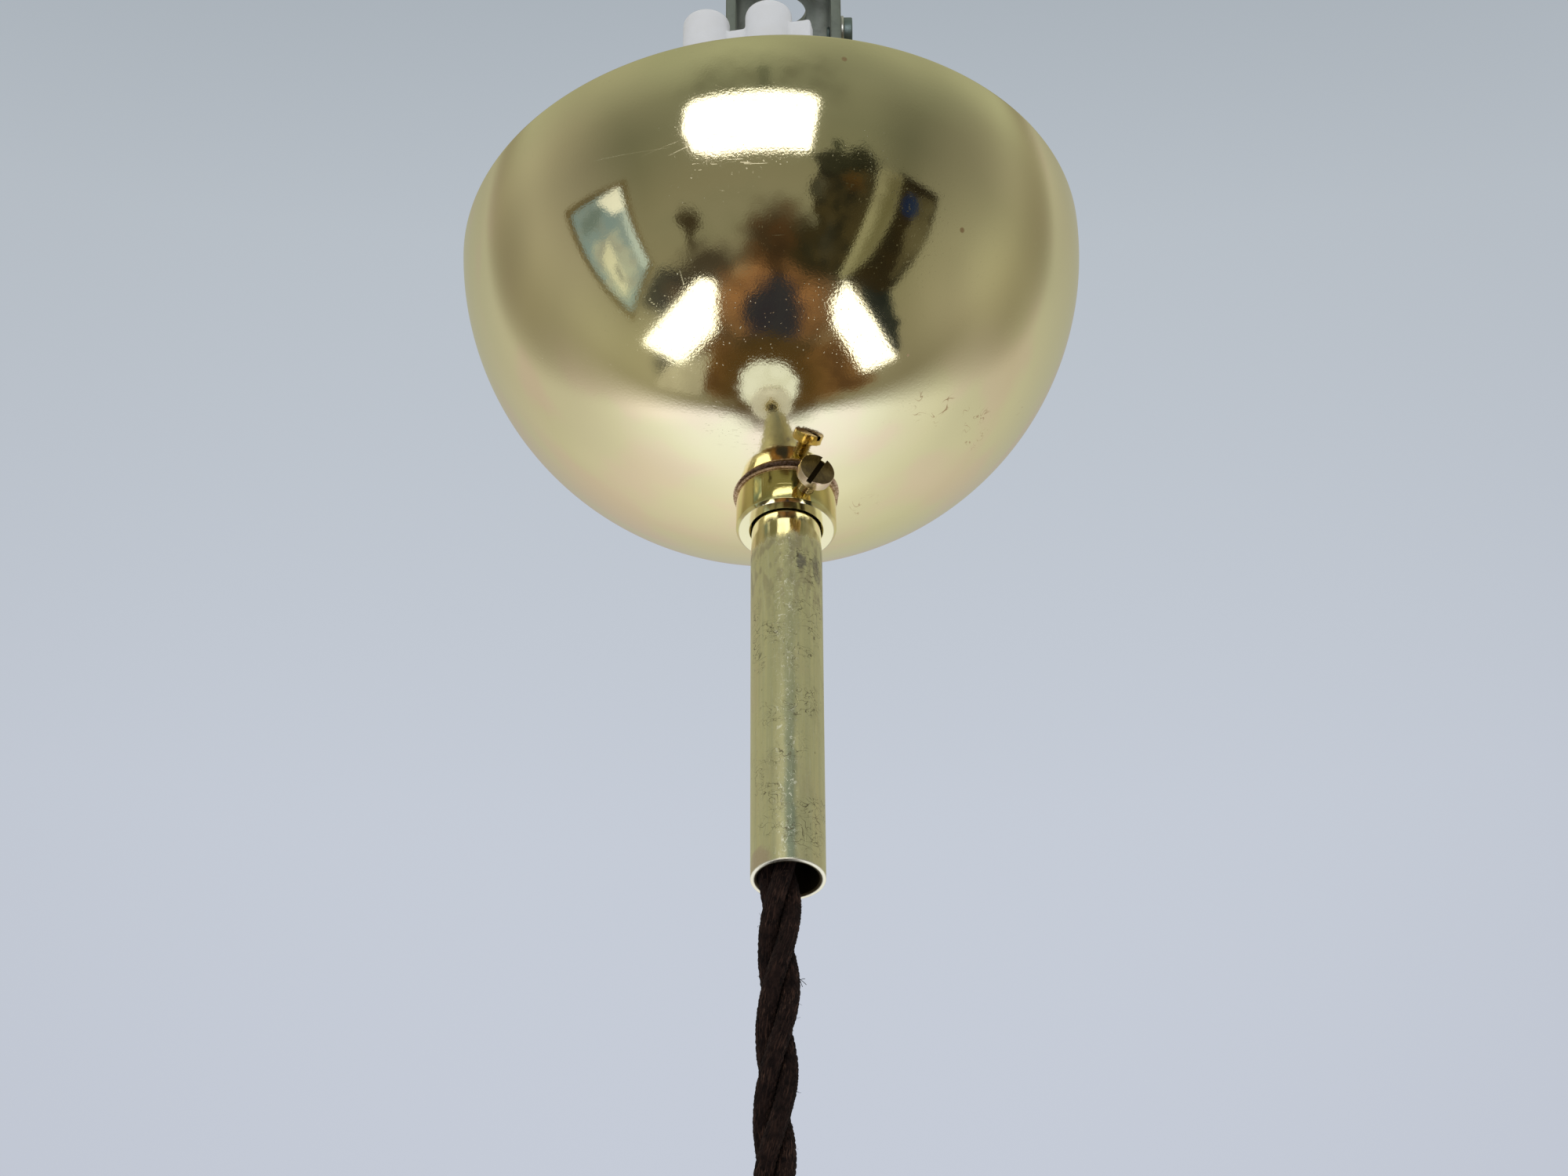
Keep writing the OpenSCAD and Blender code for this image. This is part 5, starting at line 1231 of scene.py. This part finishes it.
for side, f in POLE.items():
    tools.append(drill(2.85, -9.5, 9.5, f, 0.35))
    tools += [drill(1.45, 0, 7.0, tower, 0.3) for tower in TOWER[side]]
    sleeve = turned("s", [(2.8, -7.5, 0.12), (2.8, 7.5, 0.12), (2.2, 7.5, 0.15), (2.2, 0.5, 0.1), (0, 0.5),
                          (0, -0.5), (2.2, -0.5, 0.1), (2.2, -7.5, 0.15)], 72, f)
    sleeves.append(boolean(sleeve, [rod(1.3, 0, 4, tower, 32) for tower in TOWER[side]]))
    screws += [grub("g", 2.5, 5.5, tower @ shift(0, 0, tip), 0.45, angle, 0.7)
               for tower, tip, angle in zip(TOWER[side], (0.75, 2.4), (20 + 40 * side, 75 * side))]
dress(boolean(block, tools), "terminal_block", sharp=50)
dress(joined("terminal_sleeves_bored", sleeves), "terminal_sleeves")
dress(joined("terminal_screws_slotted", screws), "terminal_screws")

# ---------------------------------------------------------------- lampholder
H = shift(*HOLDER)


def holder_top():
    """Cord grip with its knurl and its screw, and the glazed cap."""
    teeth, depth = 72, 0.22

    def knurl(z):
        return (7.0 - depth / 2, z, None, lambda a: depth / 2 * vee(teeth * a / (2 * np.pi)))

    grip = turned("holder_grip_turned", [
        (3.7, 0, 0.5), (7.0, 0, 1.6), (7.0, -4.0), (7.0, -8.0, 0.1), (6.7, -8.3, 0.05), (6.7, -8.7, 0.05),
        (6.9, -8.9), knurl(-9.0), knurl(-11.3), (6.85, -11.4), (6.7, -11.6), (6.7, -12, 0.1), (4.95, -12.0)]
        + thread_rows(4.78, -12.3, -20.6, 1.0, 0.34) + [(4.7, -21.0, 0.1), (3.7, -21.0, 0.1)], 288, H)
    side = H @ shift(0, 0, -6) @ turn(90, "X")
    dress(boolean(grip, [rod(1.55, 5, 9, side)]), "holder_grip")
    dress(screw("grip_screw_cut", 3.0, 4.25, 5.5, 2.0, 60, side @ shift(0, 0, 7.8)), "grip_screw")

    profile = [(5.0, -12.0, 0.3), (9.0, -12.0, 0.7), (9.0, -13.75)]
    profile += arc((6.0, -31.5), 18.0, math.degrees(math.acos(3.0 / 18.0)), 0, 60)[1:]
    profile += [(24.0, -44.8, 0.3), (23.7, -45.1, 0.25), (23.7, -45.5, 0.25), (24.0, -45.8, 0.3),
                (24.0, -48.5, 1.0), (20.0, -48.5, 0.8), (20.0, INSERT_TOP, 0.3), (18.5, INSERT_TOP, 0.4)]
    profile += arc((9.85, -26.65), 8.65, 0, 90, 14) + [(5.0, -18.0, 0.3)]
    dress(turned("holder_cap_glazed", profile, 180, H, 6), "holder_cap")


def notched(r, z, depth=0.9, count=24, at=25.6):
    """Row of a shade ring with round notches for the fingers."""
    def wave(a):
        delta = ((a * count / (2 * np.pi) + 0.5) % 1.0 - 0.5) * 2 * np.pi / count
        gap = depth ** 2 - (at * np.sin(delta)) ** 2
        cut = at * np.cos(delta) - np.sqrt(np.maximum(gap, 0))
        return np.where(gap > 0, np.minimum(cut, r), r) - r
    return (r, z, None, wave)


def holder_lower():
    """Skirt with its coarse thread, both shade rings, the lamp's shell and the centre contact."""
    profile = [(16.0, -38.5, 0.5), (19.4, -38.5, 0.3), (SKIRT_R, -39.0)]
    profile += thread_rows(SKIRT_R, -39.4, -64.8, 3.0, 0.7, swell, 14)
    profile += [(SKIRT_R, -65.3, 0.2), (SKIRT_R, -75.5, 0.4), (18.6, -76.5, 0.5), (16.0, -76.5, 0.6)]
    dress(turned("holder_skirt_threaded", profile, 216, H), "holder_skirt")

    rim = [(24.7, 0.03), (25.2, 0.2), (25.5, 0.5), (25.6, 0.85)]
    for name, z in (("upper_shade_ring", -54.5), ("lower_shade_ring", -61.0)):
        top = z + RING_HEIGHT
        rows = [(20.1, z, 0.25), (24.2, z)] + [notched(r, z + rise) for r, rise in rim]
        rows += [notched(r, top - rise) for r, rise in rim[::-1]]
        rows += [(24.2, top), (23.6, top, 0.1), (23.4, top - 0.2, 0.1), (22.4, top - 0.2, 0.1),
                 (22.2, top, 0.1), (20.1, top, 0.25)]
        dress(turned(name + "_cut", rows, 720, H), name)

    shell = turned(
        "screw_shell_rolled",
        [(10.1, INSERT_LOW, 0.05), (11.85, INSERT_LOW, 0.3), (11.85, -42.95, 0.3), (13.6, -42.95, 0.3)]
        + thread_rows(13.6, -43.6, -62.0, LAMP_PITCH, 0.9, swell, 16)
        + [(13.6, -62.8, 0.15), (13.25, -62.8, 0.15)]
        + thread_rows(13.25, -62.0, -43.6, LAMP_PITCH, 0.9, swell, 16)
        + [(13.25, -43.3, 0.2), (11.5, -43.3, 0.3), (11.5, -38.8, 0.3), (10.1, -38.8, 0.05)], 192, H)
    tab = bevelled(box((6.1, -2.4, -38.8), (10.6, 2.4, INSERT_LOW), H), 0.06, 1)
    boolean(shell, [tab], "UNION")
    dress(boolean(shell, [rod(1.25, -39.3, -38, H @ shift(8.5, 0, 0), 32)]), "screw_shell", sharp=40)

    dress(turned("centre_contact_domed", arc((0, -37.31), 4.64, -90, -51.3, 14)[:-1] + [
        (2.9, -40.93, 0.12), (2.9, -36.7), (4.0, -36.7, 0.12), (4.0, -35.9, 0.12), (0, -35.9)], 96, H),
        "centre_contact")
    spring = [(2.9, -0.14, 0.05), (2.9, 0.14, 0.05), (2.0, 0.14, 0.05), (2.0, -0.14, 0.05)]
    points, faces = lathe(rounded(spring), 144)
    points[:, 2] += 0.565 * np.sin(3 * np.arctan2(points[:, 1], points[:, 0])) - 35.175
    wave_spring = dress(mesh_object("contact_spring_waved", points + HOLDER, faces), "contact_spring")
    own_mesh(wave_spring)


def holder_insert():
    disc = turned("holder_insert_pressed", [
        (0, INSERT_LOW), (18.6, INSERT_LOW, 0.3), (19.8, -38.1, 0.2), (19.8, INSERT_TOP, 0.4), (0, INSERT_TOP)],
        144, H)
    holes = [H @ turn(a, "Z") @ shift(HOLE_RING, 0, 0) for a in HOLE_ANGLES]
    tools = [drill(2.95, INSERT_LOW, INSERT_TOP, H, 0.2), rod(4.2, -36.75, -34, H)]
    for hole in holes:
        tools += [rod(1.55, -39, -34, hole, 32), rod(2.8, -39, -36.5, hole)]
    tools += [rod(1.25, -39, -34, H @ shift(x, 0, 0), 32) for x in (-8.5, 8.5)]
    dress(boolean(disc, tools), "holder_insert")
    dress(joined("insert_screws_long", [
        screw("s", 3.0, 18.3, 5.5, 1.9, 30, hole @ shift(0, 0, -36.5) @ turn(180, "X")) for hole in holes]),
        "insert_screws")


def holder_wires():
    """Rubber cores inside the cap."""
    foot, end_z, core_r = -21.0, -26.95, 1.2
    screw_at = np.array(polar(HOLE_RING, 68))
    way = screw_at - [0, CORE_RING]
    way = way / np.linalg.norm(way)
    eye = screw_at - 3.65 * way
    routes = [([[side * CORE_RING * math.cos(math.radians(30)), -CORE_RING / 2, foot],
                [side * 2, -0.7, foot - 1.3], [side * 4.0, -0.3, (foot + end_z) / 2 + 0.2],
                [side * 7.5, 0, end_z + 1.8], [side * 8.0, 0, end_z + 0.5]], [side * 8.0, 0, end_z])
              for side in (-1, 1)]
    routes.append(([[0, CORE_RING, foot], [0.1, CORE_RING + 0.1, foot - 1],
                    [eye[0] / 2, (eye[1] + CORE_RING) / 2, foot - 2], [*(eye - 0.4 * way), foot - 2.2]],
                   [*eye, foot - 2.2]))
    dress(mesh_object("holder_leads_round", *merge(
        [strand(np.concatenate([smooth(route, 10), [end]]) + HOLDER, core_r, 32, 0.3, 0)
         for route, end in routes])), "holder_leads")


holder_top()
holder_lower()
holder_insert()
holder_wires()
